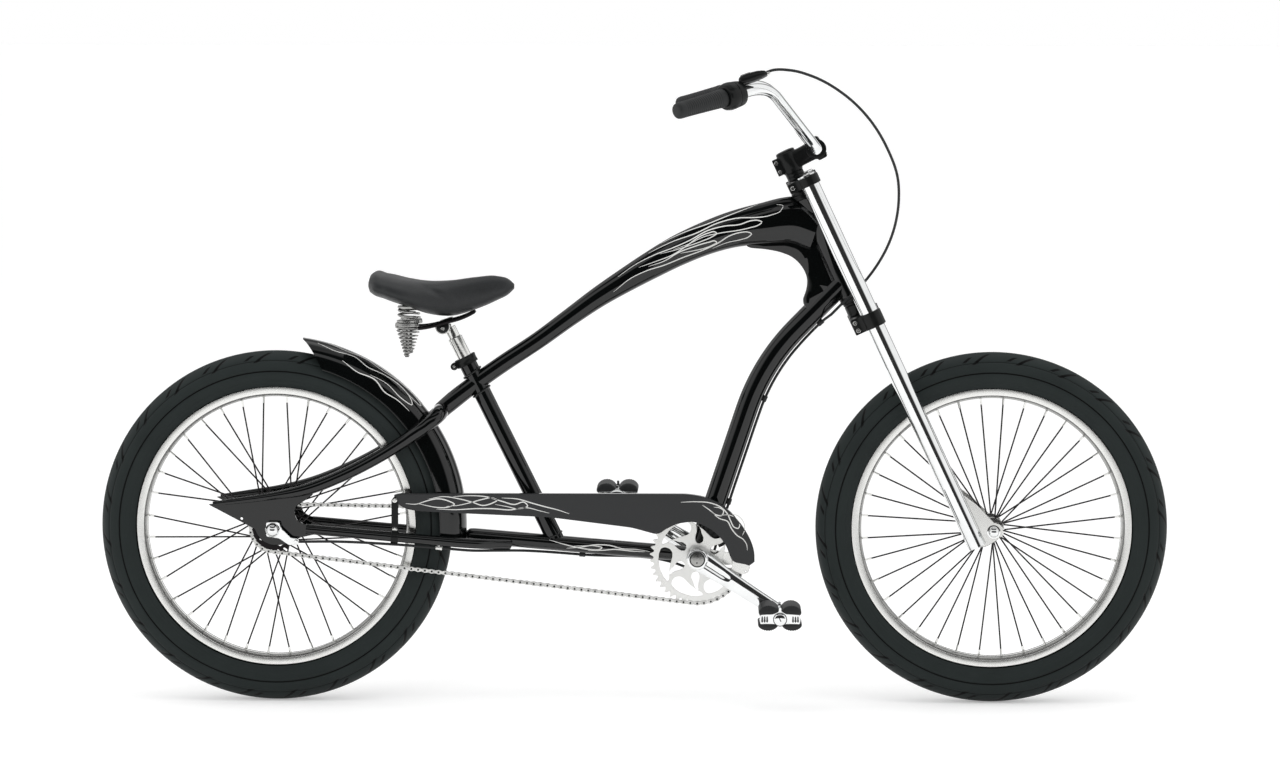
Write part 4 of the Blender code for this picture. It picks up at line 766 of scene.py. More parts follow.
def make_tubes():
    """Head tube, headset, down tube, lower tube, seat tube and bracket shell, with their weld beads."""
    set_down("head_tube_skin", Solid().lathe(HEAD_TUBE, STEERER, UP, 64), PAINT, "head_tube")
    for level, profile in HEADSET.items():
        solid = Solid().lathe(profile, STEERER, UP, 64)
        set_down(f"headset_{level}_cup", solid, SATIN, f"headset_{level}")
    set_down("down_tube_skin", Solid().tube(at(*DOWN_TUBE.T), 20.5, 56), PAINT, "down_tube")
    path = at(*(LOWER_START + LOWER_RUN * np.array([0, .004, .012, .03, .06, .5, .94, 1])[:, None]).T)
    share = np.array([.55, .82, .95, 1, 1, 1, 1, 1])
    solid = Solid().grid(swept(path, oval(LOWER_HIGH * share, LOWER_WIDE * share, LOWER_POWER, 64)))
    set_down("lower_tube_skin", solid, PAINT, "lower_tube", sharp=60)
    solid = Solid().tube(np.linspace(SEAT_FOOT, SEAT_TOP, 8), 16.5, 48)
    solid.bead(SEAT_FOOT + SEAT_RUN * 15.5, SEAT_RUN, 16.5, 1.9, 40, .15)
    for down in (33.0, 72.0):
        solid.bead(SEAT_TOP - SEAT_RUN * down, (-.588, 0, .809), 17.8, 2.2, 40, .1)
    set_down("seat_tube_skin", solid, PAINT, "seat_tube")
    set_down("bracket_shell_skin", Solid().lathe(SHELL, BRACKET, ACROSS, 64), PAINT, "bracket_shell")


def make_stays():
    """Both seat stays with their tail plates, both chain stays, and the tail plates' small holes."""
    tail = outline(4, 5, -121, 45.5, -36, .5, -30, -12.5, -20, -23.5, -6, -30, 10, -30, 25, -27, 50, -15.5,
                   78, -9.5, 78, 6.5, 56, 9, 43, 16.5, 38, 29.5, 42, 42.5, 60, 54.5, 74, 64.5, 60, 73.5,
                   0, 59.5, -60, 50.5)
    for side, word in SIDES:
        line = smooth_line(SEAT_STAY * (1, 1, side, 1), 120)
        solid = Solid().tube(at(*line[:, :3].T), line[:, 3], 40, (.05, .03, 1.0))
        solid.plate([tail, hole(2.6, 24, -59, 19)], *sorted((side * 62.5, side * 68.5)), .9)
        set_down(f"seat_stay_{word}", solid, PAINT, f"seatstay_{word}", sharp=40)
        path = evened(eased(CHAIN_STAY * (1, 1, side), 50, 14), 60)
        set_down(f"chain_stay_{word}", Solid().tube(at(*path.T), 9.2, 36), PAINT, f"chainstay_{word}")


class BIKE_OT_tubes(bpy.types.Operator):
    """Build the frame's round tubes and stays"""

    bl_idname = "bike.tubes"
    bl_label = "Tubes and stays"

    def execute(self, context):
        make_tubes()
        make_stays()
        return {"FINISHED"}


LEG_AHEAD = 17.0
LEG_Y = 75.0
LEG = (-13.5, 14, -13.5, 16.3, -12.7, 17, 736.5, 17, 737, 16.6, 737.6, 17, 739.6, 16.8, 740.7, 15,
       741, 12, 741, 6.2, 738.5, 5.8, 738.5, 1)
AXLE_COLLAR = (52, 4.8, 53, 9.8, 69.8, 9.8, 70.4, 9, 70.4, 4.8)
AXLE_NUT = (79.5, 5.2, 79.5, 11.8, 80, 12.2, 81, 12.2, 81.4, 10.4, 85, 10.2, 88, 9.6, 90.5, 8, 92.5, 5.5,
            93.5, 2.5, 93.7, .4)
# Pinch bolt's head, and the steerer's boss and tube on the lower crown
PINCH = (0, 1.2, 0, 3.6, .4, 4, 2.8, 4, 3.4, 3.4, 3.4, 2, 1.8, 1.8, 1.8, .4)
BOSS = (463, 15, 463, 20.5, 464, 20.9, 483, 20.5, 484.2, 19.5, 484.2, 13)


def make_fork():
    """Both chrome legs with their caps and slotted ends, and the front axle with its domed nuts."""
    nose = rayed(17.2, np.linspace(62, -58, 16)) + (FORK_OFFSET, 0)
    end = np.concatenate([nose, table(2, 61.5, -14.2, 59, -8, 56.5, -7.2, 57.8, -15, 50, -17.8, 33.1, -19,
                                      17, -15, 13, 10, 25, 83, 34.3, 83, 48, 57)])
    for side, word in SIDES:
        y = side * LEG_Y
        solid = Solid().lathe(LEG, steer(LEG_AHEAD, 0, y), UP, 64)
        solid.plate([end], y - 4, y + 4, 1.0, steer, 1)
        set_down(f"fork_leg_{word}_tube", solid, f"{CHROME} {ALLOY}", f"fork_leg_{word}", "steering")
    solid = Solid().both(AXLE_COLLAR, FRONT_HUB, 32).both(AXLE_NUT, FRONT_HUB, 40)
    solid.lathe((-80, 4.7, 80, 4.7), FRONT_HUB, ACROSS, 24)
    set_down("front_axle_nuts", solid, CHROME, "front_axle", "steering")


def crown_loops():
    """A fork crown from above: two leg clamps, a waisted bridge, the steerer's boss and the rear lugs."""
    clamp = rayed(20.7, np.linspace(-28, 148, 24)) + (LEG_AHEAD, LEG_Y)
    rear = table(2, -6.5, 83.5, -22.5, 83.5, -22.5, 66.5, -7, 66.5, -10.5, 50, -15, 24, -21.5, 11)
    half = np.concatenate([table(2, 22.5, 6, 20.5, 18, 19, 36, 23, 52), clamp, rear])
    bores = [rayed(17.25, np.degrees(turns(48))) + (LEG_AHEAD, y) for y in (LEG_Y, -LEG_Y)]
    return [eased(np.concatenate([half, half[::-1] * (1, -1)]), 2.5, 3, True), *bores]


def make_crowns():
    """Both fork crowns with their pinch bolts, and the steerer between them."""
    for name, low, high, apart in (("lower", 434.0, 463.0, (-7.5, 7.5)), ("upper", 718.8, 736.8, (0.0,))):
        solid = Solid().plate(crown_loops(), low, high, 1.2, lambda ahead, y, up: steer(ahead, up, y))
        bolts = Solid()
        for side, _ in SIDES:
            for level in apart:
                spot = steer(-15.0, (low + high) / 2 + level, side * 83.5)
                bolts.lathe(PINCH, spot, ACROSS * side, 24)
        if name == "lower":
            solid.lathe(BOSS, STEERER, UP).lathe((470, 12.7, 787, 12.7), STEERER, UP, 32)
        set_down(f"{name}_crown_clamp", solid, SATIN, f"{name}_crown", "steering")
        set_down(f"{name}_crown_bolts", bolts, ALLOY, "", "steering")


class BIKE_OT_fork(bpy.types.Operator):
    """Build the fork's legs, ends and crowns"""

    bl_idname = "bike.fork"
    bl_label = "Fork"

    def execute(self, context):
        make_fork()
        make_crowns()
        return {"FINISHED"}


STEM_LOW = 751.7
STEM_HIGH = 789.7
BAR_SPOT = steer(54.5, 772.7)
BAR_RADIUS = 11.1
CABLE_RADIUS = 2.5
# Bar: x, z, y of its bend and of its end
BAR_ENDS = table(3, 903.5, 819, 235, 744.5, 775, 365)
GRIP = table(2, -3, .6, -3, 5.6, -2.4, 10.2, -.6, 13.2, 2.8, 14.4, 7.5, 14.7, 20, 14.7, 50, 15.2, 85, 16.1,
             98, 16.5, 101, 16.8, 104, 16.9, 106.5, 16.6, 108, 15.2, 108, 11.2)
SLEEVE = table(2, 108.3, 11.2, 108.3, 20.5, 109.2, 22.2, 112, 23.6, 118, 24.9, 123, 25, 129, 24.6,
               130.2, 23.6, 131, 23.2, 131.8, 24, 140, 23.3, 146, 22.2, 147.6, 20.8, 148, 19, 148, 11.2)
CABLE_NUT = (24.5, 2.2, 24.5, 3.4, 28.5, 3.4, 29.2, 3, 31.2, 3, 31.8, 2.6)


def bar_end(side):
    """The bar's bend and its end on one side, and the way inwards between them."""
    corner, end = at(*(BAR_ENDS * (1, 1, side)).T)
    return corner, end, unit(corner - end)


def make_bar():
    """The bar as one bent chrome tube, and two soft grips with a domed end and a rolled flange."""
    halves = []
    for side, _ in SIDES:
        corner, end, _ = bar_end(side)
        rows = np.stack([BAR_SPOT, BAR_SPOT + ACROSS * side * 62, corner, end])
        halves.append(evened(eased(rows, (0, 35, 45, 0), 16), 90))
    path = np.concatenate([halves[0][::-1], halves[1][1:]])[3:-3]
    set_down("handlebar_tube", Solid().tube(path, BAR_RADIUS, 40, (.9, 0, -.42)), CHROME, "handlebar",
             "steering")
    for side, word in SIDES:
        _, end, inwards = bar_end(side)
        spread = evened(eased(GRIP, 1.6, 4), 220)
        along = spread[:, 0]
        groove = np.clip((along - 10) / 6, 0, 1) * np.clip((97 - along) / 6, 0, 1)
        spread[:, 1] -= groove * .35 * (1 + np.cos(along * 2 * np.pi / 4.6))
        set_down(f"grip_{word}_sleeve", Solid().lathe(spread, end, inwards, 56), RUBBER, f"grip_{word}",
                 "steering", sharp=50)


def pod_place():
    """The middle of the shifter's cable pod and the way its cable leaves it."""
    _, end, inwards = bar_end(-1)
    tilt = math.radians(20.0)
    return end + inwards * 134.3 + (32, 6, 31), np.array([math.cos(tilt), 0.0, math.sin(tilt)])


def make_shifter():
    """The twist shifter: a ribbed turning sleeve, a smooth body and a pod with a gear window in polished
    alloy.
    """
    _, end, inwards = bar_end(-1)
    solid = Solid().lathe(evened(eased(SLEEVE, 1.2, 4), 120), end, inwards, 96)
    place, run = pod_place()
    across = unit(np.cross(run, (0.0, .25, 1.0)))
    up = np.cross(across, run)
    # Along the pod, half width and half height as shares
    along, wide, tall = np.array([[-.5, -.47, -.40, -.2, 0, .2, .36, .46, .5],
                                  [.55, .80, .96, 1, 1, .98, .90, .72, .45],
                                  [.50, .78, .95, 1, 1, .90, .72, .55, .38]])
    centre = place + run * (along * 52)[:, None] - up * ((1 - tall) * 4)[:, None]
    solid.grid(laid(centre, up, across, oval(8.2 * tall, 13.5 * wide, 3.2)))
    set_down("shifter_body", solid, SATIN, "twist_shifter", "steering", sharp=45)
    along, wide, tall = np.array([[-.5, -.45, -.3, .3, .45, .5], [.75, .93, 1, 1, .93, .75],
                                  [.2, .7, 1, 1, .7, .2]])
    centre = place + up * 8.2 + run * (along * 20 - 11)[:, None]
    window = Solid().grid(laid(centre, up, across, oval(2.2 * tall, 8 * wide, 2.6, 32)))
    window.lathe(CABLE_NUT, place - up * 3, run, 24)
    set_down("shifter_window", window, ALLOY, "", "steering")


STEM_CAP = (789.7, 12.8, 789.7, 18, 790.7, 18.3, 792.5, 17.6, 793.9, 15, 794.5, 9, 794.6, 5, 792.7, 4.4,
            792.7, .4)
STEM_BOLT = (11, 1, 11, 3.6, 13.6, 3.6, 14.2, 3, 14.2, 1.8, 12.8, 1.6, 12.8, .3)


def make_stem():
    """The stem: spacers, a clamp with rear ears, a faceted neck, a bar clamp with a faceplate and a cap."""
    middle = (STEM_LOW + STEM_HIGH) / 2
    solid, bolts = Solid(), Solid()
    for low, high, radius, edge in ((737.1, 744.0, 17.0, .6), (744.3, 751.3, 17.0, .6),
                                    (STEM_LOW, STEM_HIGH, 18.5, 1.2)):
        solid.lathe(bevelled(low, high, radius, edge, 12.8), STEERER, UP, 48 if edge < 1 else 56)
    solid.lathe(STEM_CAP, STEERER, UP)
    for side in (-1, 1):
        solid.boxed(steer(-21.5, middle, side * 6.2), (AHEAD, UP, ACROSS), (7.5, 16, 4.8), 5.0)
        bolts.lathe(STEM_BOLT, steer(-23, middle + side * 8.8), -ACROSS, 24)
    start, end = steer(6, middle), BAR_SPOT - AHEAD * 10
    front = unit(end - start)
    share = np.linspace(0, 1, 12)
    high = 16.6 + .6 * (2 * share - 1) ** 2
    wide = 14.0 + 4.0 * share ** 2 + 2.0 * (1 - share) ** 3
    solid.grid(swept(start + (end - start) * share[:, None], oval(high, wide, 5.0, 64)))
    solid.lathe(bevelled(-22.5, 22.5, BAR_RADIUS + 7.5, 1.4, BAR_RADIUS + .3), BAR_SPOT, ACROSS, 64)
    above = np.cross(front, ACROSS)
    for level in (-16.2, 16.2):
        lug = BAR_SPOT + above * level
        solid.boxed(lug + front * 3.5, (ACROSS, front, above), (21.5, 9.2, 5.2), 4.0)
        starts = lug + front * 8.5 + ACROSS * [[-14], [14]]
        bolts.rods(starts, starts + front * 5.5, 3.0, 20)
    set_down("stem_body", solid, SATIN, "stem", "steering", sharp=32)
    set_down("stem_bolts", bolts, ALLOY, "", "steering")


# Cable: x, z, y of the free loop, and of the run's bends below the frame
CABLE_LOOP = table(3, 946, 846.2, -270, 986, 835, -256, 1040, 804.5, -228, 1085, 762.5, -196,
                   1123, 703.5, -160, 1142, 653.5, -134, 1145.5, 608.5, -112, 1133, 538.5, -78,
                   1081, 450.5, -40, 1044, 414.5, -34, 1026.5, 396.5, -31)
CABLE_BENDS = (table(3, 821.1, -13.2, 0, 810, -51.5, 0, 800, -72.5, 0, 781, -82, 0, 760, -76.5, 0,
                     740, -69.3, 0),
               table(3, 460, -46.1, -6, 410, -42, -40, 365, -39.5, -62),
               table(3, 220, -27.6, -69, 110, -21.5, -80, 48.3, -21.5, -84.25))


def make_cables():
    """The shift cable: a free loop from the shifter to the frame, then a run under the tubes to the hub."""
    place, run = pod_place()
    path = smooth_line(np.concatenate([place + run * [[26], [34]], at(*CABLE_LOOP.T)]), 150)
    solid = Solid().tube(path, CABLE_RADIUS, 16)
    item = set_down("shift_cable_jacket", solid, RUBBER, "shift_cable", sharp=60)
    item.parent = None
    tuple(path[20] / 1000)
    tuple(path[-4] / 1000)
    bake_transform(item)
    run = unit(np.gradient(DOWN_TUBE, axis=0))
    below = at(*(DOWN_TUBE + np.stack([-run[:, 1], run[:, 0]], -1) * 24.2).T)
    bends = [at(*rows.T) for rows in CABLE_BENDS]
    lower, stay = at(567.2, -53.7), at(304.6, -34.1, -66.5)
    path = smooth_line(np.concatenate([at(*CABLE_LOOP[-1:].T), below[13:76:7], bends[0], [lower], bends[1],
                                       [stay], bends[2]]), 260)
    fixed = [13, 41, 72]
    heads = np.concatenate([below[fixed], [lower]])
    roots = np.concatenate([at(*DOWN_TUBE[fixed].T), [at(567.2, -39)]])
    near = [np.argmin(np.sum((path - head) ** 2, -1)) for head in heads]
    way = unit(np.stack([path[number + 1] - path[number - 1] for number in near])) * 5.5
    solid = Solid().tube(path, CABLE_RADIUS, 14)
    solid.rods(roots, heads, 3.5, 16).rods(heads - way, heads + way, 4.2, 18)
    set_down("frame_cable_jacket", solid, RUBBER, "frame_cable", sharp=60)
    clip = Solid().lathe(bevelled(-6, 6, 4.2, .6, CABLE_RADIUS), stay, bends[2][0] - bends[1][2], 24)
    clip.rods(np.array([stay + UPRIGHT]), np.array([at(304.6, -24, -66.5)]), 3.0, 16)
    set_down("cable_stay_clip", clip, ALLOY)


class BIKE_OT_cockpit(bpy.types.Operator):
    """Build the bar, grips, shifter, stem and cables"""

    bl_idname = "bike.cockpit"
    bl_label = "Bar and stem"

    def execute(self, context):
        make_bar()
        make_shifter()
        make_stem()
        make_cables()
        return {"FINISHED"}


TYRE_RADIUS = 325.5
TYRE_SECTION = 38.0
RIM_RADIUS = 260.0
# Wheel: hub point, spoke slant, flange's y and radius, first spoke's angle, barrel, core, half length
WHEELS = {"rear": (REAR_HUB, 52.0, 29.0, 33.5, -4.4, 27.0, 12.5, 48.5),
          "front": (FRONT_HUB, 9.0, 34.0, 22.5, 5.0, 13.0, 11.0, 52.0)}


def tyre_section():
    """The tyre's (across, radius) loop: a round casing, a shallow step below each shoulder, and a bead."""
    centre = TYRE_RADIUS - TYRE_SECTION
    half = math.acos((RIM_RADIUS + .3 - centre) / TYRE_SECTION)
    angle = np.linspace(-half, half, 121)
    reach = np.full(len(angle), TYRE_SECTION)
    for middle, width, depth in ((.97, .045, .9), (1.53, .045, 1.6), (2.05, .04, .6)):
        reach -= depth * np.exp(-(((np.abs(angle) - middle) / width) ** 2))
    outer = np.stack([reach * np.sin(angle), reach * np.cos(angle)], -1)
    return np.concatenate([outer, outer[::-4] * .88]) + (0, centre)


def rim_section():
    """The rim's (across, radius) loop: lips, sloped sides and a flat inner band with eased corners."""
    half = table(2, 0, 252, 15, 253, 15.8, RIM_RADIUS, 18.5, 260.3, 19.9, 259, 19.2, 247, 18, 245.2,
                 12, 241.8, 8, 241, 0, 240.8)
    return eased(np.concatenate([half, half[-2:0:-1] * (-1, 1)]), .6, 4, True)


def rim_band(side):
    """A darker grey band inside the rim's bright side: a thin (across, radius) loop over the sloped wall."""
    wall = table(2, 19, 246.2, 18.3, 245.3, 12, 241.7, 7.8, 240.8)
    return np.concatenate([wall, wall[::-1] + (-.6, 1)]) * (side, 1) - (0, .3)


def make_wheel(word):
    """A tyre, a rim with spoke nipples, and a laced hub on one hub point."""
    hub, slant, y, flange, first, barrel, core, half = WHEELS[word]
    sizes = bpy.context.scene.bike_sizes
    body = f"{word}_wheel"
    solid = Solid().grid(turned(tyre_section(), hub, ACROSS, 240).transpose(1, 0, 2), True)
    set_down(f"{word}_tyre_skin", solid, "tyre_rubber", f"{word}_tyre", body, sharp=60)
    solid = Solid().grid(turned(rim_section(), hub, ACROSS, 180), True)
    for side, _ in SIDES:
        solid.grid(turned(rim_band(side), hub, ACROSS, 180), True, 1)
    set_down(f"{word}_rim_skin", solid, f"{ALLOY} spring_steel", f"{word}_rim", body, sharp=30)
    number = np.arange(sizes.spokes)
    side, way = np.where(number % 2, 1, -1), np.where(number // 2 % 2, 1, -1)
    angle = 360 * number / sizes.spokes + first
    start = around_hub(flange - 3, angle + way * slant, side * (y + way * 1.6), hub)
    end = around_hub(241.2, angle, side * 2.0, hub)
    set_down(f"{word}_spokes", Solid().rods(start, end, sizes.spoke_thickness * 500), DARK, "", body)
    shell = table(2, 0, barrel, y - 6, barrel, y - 2.2, barrel + 1.5, y - 1.6, flange - .6, y - 1, flange,
                  y + 1, flange, y + 1.6, flange - .6, y + 2.2, barrel, y + 6, core + .5, half - 1, core,
                  half, core - 1, half, 5.6)
    shell = eased(np.concatenate([shell[:0:-1] * (-1, 1), shell]), .4, 3)
    solid = Solid().rods(end + (start - end) * .055, end, 2.3).lathe(shell, hub, ACROSS, 64)
    set_down(f"{word}_hub_shell", solid, ALLOY, f"{word}_hub", body, sharp=30)


class BIKE_OT_wheels(bpy.types.Operator):
    """Build both wheels: tyres, rims, spokes and hubs"""

    bl_idname = "bike.wheels"
    bl_label = "Wheels"

    def execute(self, context):
        for word in WHEELS:
            make_wheel(word)
        return {"FINISHED"}


# Saddle: x, top, bottom, half width
SADDLE = table(4, 175.8, 460, 440, 62, 176.8, 465, 436, 76, 180, 468.8, 433, 88, 205, 467.5, 422.5, 112,
               245, 459, 408.5, 113, 285, 454.5, 394.5, 85, 325, 456, 390.5, 55, 370, 462, 402.5, 36,
               410, 464, 419.5, 28, 432, 457.5, 431.5, 19, 441, 449.5, 440.5, 9)
SADDLE_POWER = 2.4
CREASE_X = 256.0
CREASE_Z = 461.0
CREASE_FALL = 0.54
CREASE_WIDTH = 5.5
CREASE_START = 225.0
CREASE_END = 345.0
CREASE_FADE = 30.0
# Saddle rail: x, z, y
RAIL = table(3, 368, 399, 15, 364, 396.5, 16, 342, 386.5, 20, 316.5, 379.5, 23.5, 288, 372, 29,
             265, 369, 38.5, 248, 370.5, 50, 244, 373.5, 52)
# The spring's middle plate, core and top plate, each with its steps
SPRING_PLATES = (((381.5, 3, 381.5, 17.5, 382.2, 19, 385, 19, 385.8, 17.5, 385.8, 3), 36),
                 ((317, .8, 317.2, 3.4, 318.5, 4.4, 321.5, 4.4, 322.5, 3, 380, 2.8, 380, .6), 20),
                 ((407, 4, 407, 16.5, 408.2, 17.2, 411, 17.2, 412, 16, 412, 4), 36))
CLAMP_BOLT = (22.4, 3.6, 25.2, 3.6, 25.8, 3, 25.8, 1.8, 24.4, 1.4, 24.4, .3)
POST = (-120, 11.8, -120, 13.5, 38.5, 13.5, 39.2, 13, 40, 11.2, 42, 10.8, 60, 10.8, 60.6, 10, 60.6, 2)
COLLAR = (-16, 16.6, -16, 19.6, -15.2, 20.5, -12, 20.5, -11.2, 20, -4.8, 20, -4, 20.5, -.8, 20.5,
          0, 19.6, 0, 16.6)
COLLAR_BOLT = (9, 1, 9, 2.8, 10.8, 2.8, 11.4, 2.2, 11.4, 1.4, 10.4, 1.2, 10.4, .3)


def make_saddle():
    """The padded saddle: lofted superellipse sections that tuck in below, with the crease of its side."""
    x, top, bottom, wide = SADDLE.T
    line = smooth_line(np.stack([x, 0 * x, (top + bottom) / 2, (top - bottom) / 2, wide], -1), 90)
    x, _, middle, high, wide = (column[:, None] for column in line.T)
    up = raised(np.cos(turns(80)), 2 / SADDLE_POWER)
    rise = middle + high * up
    crease = np.exp(-(((rise - CREASE_Z + (x - CREASE_X) * CREASE_FALL) / CREASE_WIDTH) ** 2))
    crease = crease * np.clip((x - CREASE_START) / CREASE_FADE, 0, 1)
    crease = crease * np.clip((CREASE_END - x) / CREASE_FADE, 0, 1)
    across = wide * raised(np.sin(turns(80)), 2 / SADDLE_POWER)
    across = across * (1 - .08 * crease - .10 * np.clip(-up, 0, 1) ** 2)
    pad = set_down("saddle_pad", Solid().grid(at(x, rise, across)), "saddle_cover", "saddle", sharp=60)


def coil(solid, centre, heights, radii, count, wire):
    """A helix: its angle grows evenly while its height and radius follow their own rows."""
    share = np.linspace(0, 1, int(count * 26))
    step = np.linspace(0, 1, len(heights))
    flat = rayed(np.interp(share, step, radii), 360 * count * share)
    path = centre + np.column_stack([flat, np.interp(share, step, heights)])
    return solid.tube(path, wire, 10, UPRIGHT)


def make_springs():
    """Under the saddle: a short double coil and a tapering conical coil at each side."""
    count = bpy.context.scene.bike_sizes.coil_turns * 1.5
    for side, word in SIDES:
        centre = at(246, 0, side * 52)
        solid = coil(Solid(), centre, (408, 390), (14.8, 15.8), 2.1, 2.2)
        coil(solid, centre, (380, 374.5, 346, 320.5), (19.6, 20.8, 11.5, 4.2), count, 1.6)
        for profile, steps in SPRING_PLATES:
            solid.lathe(profile, centre, UPRIGHT, steps)
        set_down(f"saddle_coil_{word}", solid, "spring_steel", f"saddle_spring_{word}", slot=CHROME)


def make_rails():
    """The rail wires, the clamp barrel with its rim and bolt, and the post and collar below them."""
    wires, bolts = Solid(), Solid()
    clamp = at(309.5, 370.8)
    for side, _ in SIDES:
        wires.tube(at(*smooth_line(RAIL * (1, 1, side), 60).T), 3.4, 16)
        rim = rayed(12.6, np.linspace(170, 375, 40))
        bolts.tube(clamp + np.insert(rim, 1, side * 21.6, axis=1), 1.3, 12)
    set_down("saddle_rail_wires", wires, DARK, "saddle_rails")
    solid = Solid().lathe(bevelled(-22.5, 22.5, 11.6), clamp, ACROSS)
    solid.boxed(at(315, 380), (ACROSS, (1, 0, .35), UPRIGHT), (18, 13, 5), 4.0)
    set_down("saddle_clamp", solid, SATIN)
    set_down("saddle_clamp_bolts", bolts.both(CLAMP_BOLT, clamp - UPRIGHT * 3, 24), ALLOY)
    solid = Solid().lathe(POST, SEAT_TOP, SEAT_RUN)
    for ring in (12, 18, 24):
        solid.bead(SEAT_TOP + SEAT_RUN * ring, SEAT_RUN, 13.45, .18, 20)
    set_down("seat_post_tube", solid, ALLOY, "seat_post")
    back = -unit(np.cross(ACROSS, SEAT_RUN))
    ear = SEAT_TOP - SEAT_RUN * 8.2 + back * 24.5
    solid = Solid().lathe(COLLAR, SEAT_TOP, SEAT_RUN, 56).both(bevelled(1.8, 9.2, 6.8), ear, 32)
    for side, _ in SIDES:
        solid.boxed(ear - back * 5.5 + ACROSS * side * 5.5, (back, SEAT_RUN, ACROSS), (6, 6.2, 3.7), 5.0)
    set_down("seat_collar_clamp", solid, SATIN, "seat_collar")
    set_down("seat_collar_bolt", Solid().both(COLLAR_BOLT, ear, 24), ALLOY)


class BIKE_OT_saddle(bpy.types.Operator):
    """Build the saddle, its springs, rails and post"""

    bl_idname = "bike.saddle"
    bl_label = "Saddle"

    def execute(self, context):
        make_saddle()
        make_springs()
        make_rails()
        return {"FINISHED"}


# Fender's half section: y, distance from the hub
FENDER = table(2, 0, 353, 11, 352.2, 21, 349.5, 29.5, 345.5, 36.5, 339.5, 41.2, 333, 43.8, 325.5,
               45, 313, 45.1, 306)
FENDER_START = -4.0
FENDER_END = 81.8
FENDER_CUT = 8.6
FENDER_CROWN = 0.12
FENDER_WALL = 1.6


def fender_skin(angle, across, lift=0.0):
    """A point on the fender: degrees round the rear hub, across from -1 to 1 by length of the section.

    The section is a smooth arch through its rows, and lift moves a point square off it.
    """
    half = smooth_line(np.insert(FENDER, 2, 0, axis=1), 120)[:, :2]
    full = np.concatenate([half[::-1] * (-1, 1), half[1:]])
    run = np.concatenate([[0.0], np.cumsum(np.linalg.norm(np.diff(full, axis=0), axis=1))])
    run = run / run[-1] * 2 - 1
    angle, across = np.broadcast_arrays(np.asarray(angle, float), across)
    columns = [*full.T, *unit(np.gradient(full, axis=0)).T]
    y, radius, over, out = (np.interp(across, run, column) for column in columns)
    return around_hub(radius + over * lift, angle, y - out * lift)


def make_fender():
    """The rear fender: an arched wall with rolled skirts, cut back from its crown at the tail."""
    across = np.linspace(-1, 1, 61)
    back = np.clip((np.abs(across) - FENDER_CROWN) / (1 - FENDER_CROWN), 0, 1) ** 1.35
    tail = FENDER_END - FENDER_CUT * back
    angle = np.linspace(np.full(61, FENDER_START), tail, 110)
    inner = fender_skin(angle[:, ::-1], across[None, ::-1], -FENDER_WALL)
    solid = Solid().grid(np.concatenate([fender_skin(angle, across[None]), inner], 1))
    for side in (-.999, .999):
        solid.tube(fender_skin(np.linspace(FENDER_START, tail[0], 90), side, -.6), 1.4, 12)
    set_down("fender_shell", solid, PAINT, "rear_fender", sharp=50)


class BIKE_OT_fender(bpy.types.Operator):
    """Build the rear fender"""

    bl_idname = "bike.fender"
    bl_label = "Fender"

    def execute(self, context):
        make_fender()
        return {"FINISHED"}


GUARD_TOP = table(2, 222, 62.5, 232, 65.5, 762, 66, 792, 61.5, 818, 51.5, 842, 33.5, 863, 8.5,
                  878, -16.5, 886, -39.5, 886, -59.5)
GUARD_LOW = table(2, 878, -65.5, 846, -59.5, 840, -45.5, 834, -28.5, 820, -10.5, 802, 3.5, 775, 15.5,
                  744, 11.5, 722, .5, 708, -9.5, 660, 3.5, 507, 22.5, 264, 32.5, 240, 38.5, 222, 50.5)
FLANGE = table(2, .4, 0, 0, -.4, -1.4, -.4, -1.8, 0, -1.8, 11.8, -1.4, 12.2, 0, 12.2, .4, 11.8)
GUARD_FACE = -60.0
BAND = (-6.5, 9.3, -6.5, 11.2, -5.8, 11.8, 5.8, 11.8, 6.5, 11.2, 6.5, 9.3)
GUARD_BOLT = (63.3, 4.8, 65, 4.8, 65.8, 4.2, 66.2, 2.6, 65.2, 2.2, 65.2, .4)
RING_SPOT = np.array([781.0, -52.5])


def make_guard():
    """The chain guard: a thin side sheet, a flange turned in along its top, and a comb of slots."""
    sheet = np.concatenate([eased(GUARD_TOP, 12, 7), eased(GUARD_LOW, 10, 7)])
    solid = Solid().plate([sheet], GUARD_FACE, GUARD_FACE + 1.6, .5)
    line = at(*evened(eased(GUARD_TOP, 12, 12), 160).T, GUARD_FACE)
    out = np.cross(unit(np.gradient(line, axis=0)), ACROSS)
    out = out * np.sign(out[:1, 2:3])
    solid.grid(laid(line, out[:, None], ACROSS, FLANGE))
    set_down("guard_sheet", solid, "guard_paint", "chain_guard", slot=PAINT, sharp=40)
    slots = []
    for degrees in (68, 56, 44, 32):
        out = rayed(1.0, degrees)
        slots.append(RING_SPOT + out * 56 + oval(8.5, 1.6, 3.0, 14) @ np.array([out, [out[1], -out[0]]]))
    edge = rayed(1.0, np.linspace(76, 24, 14))
    comb = np.concatenate([edge * 68, edge[::-1] * 44]) + RING_SPOT
    solid = Solid().plate([comb, *slots], -43.5, -41.5, .3).plate([comb], -40, -38.8, .3)
    set_down("guard_comb", solid, RUBBER)


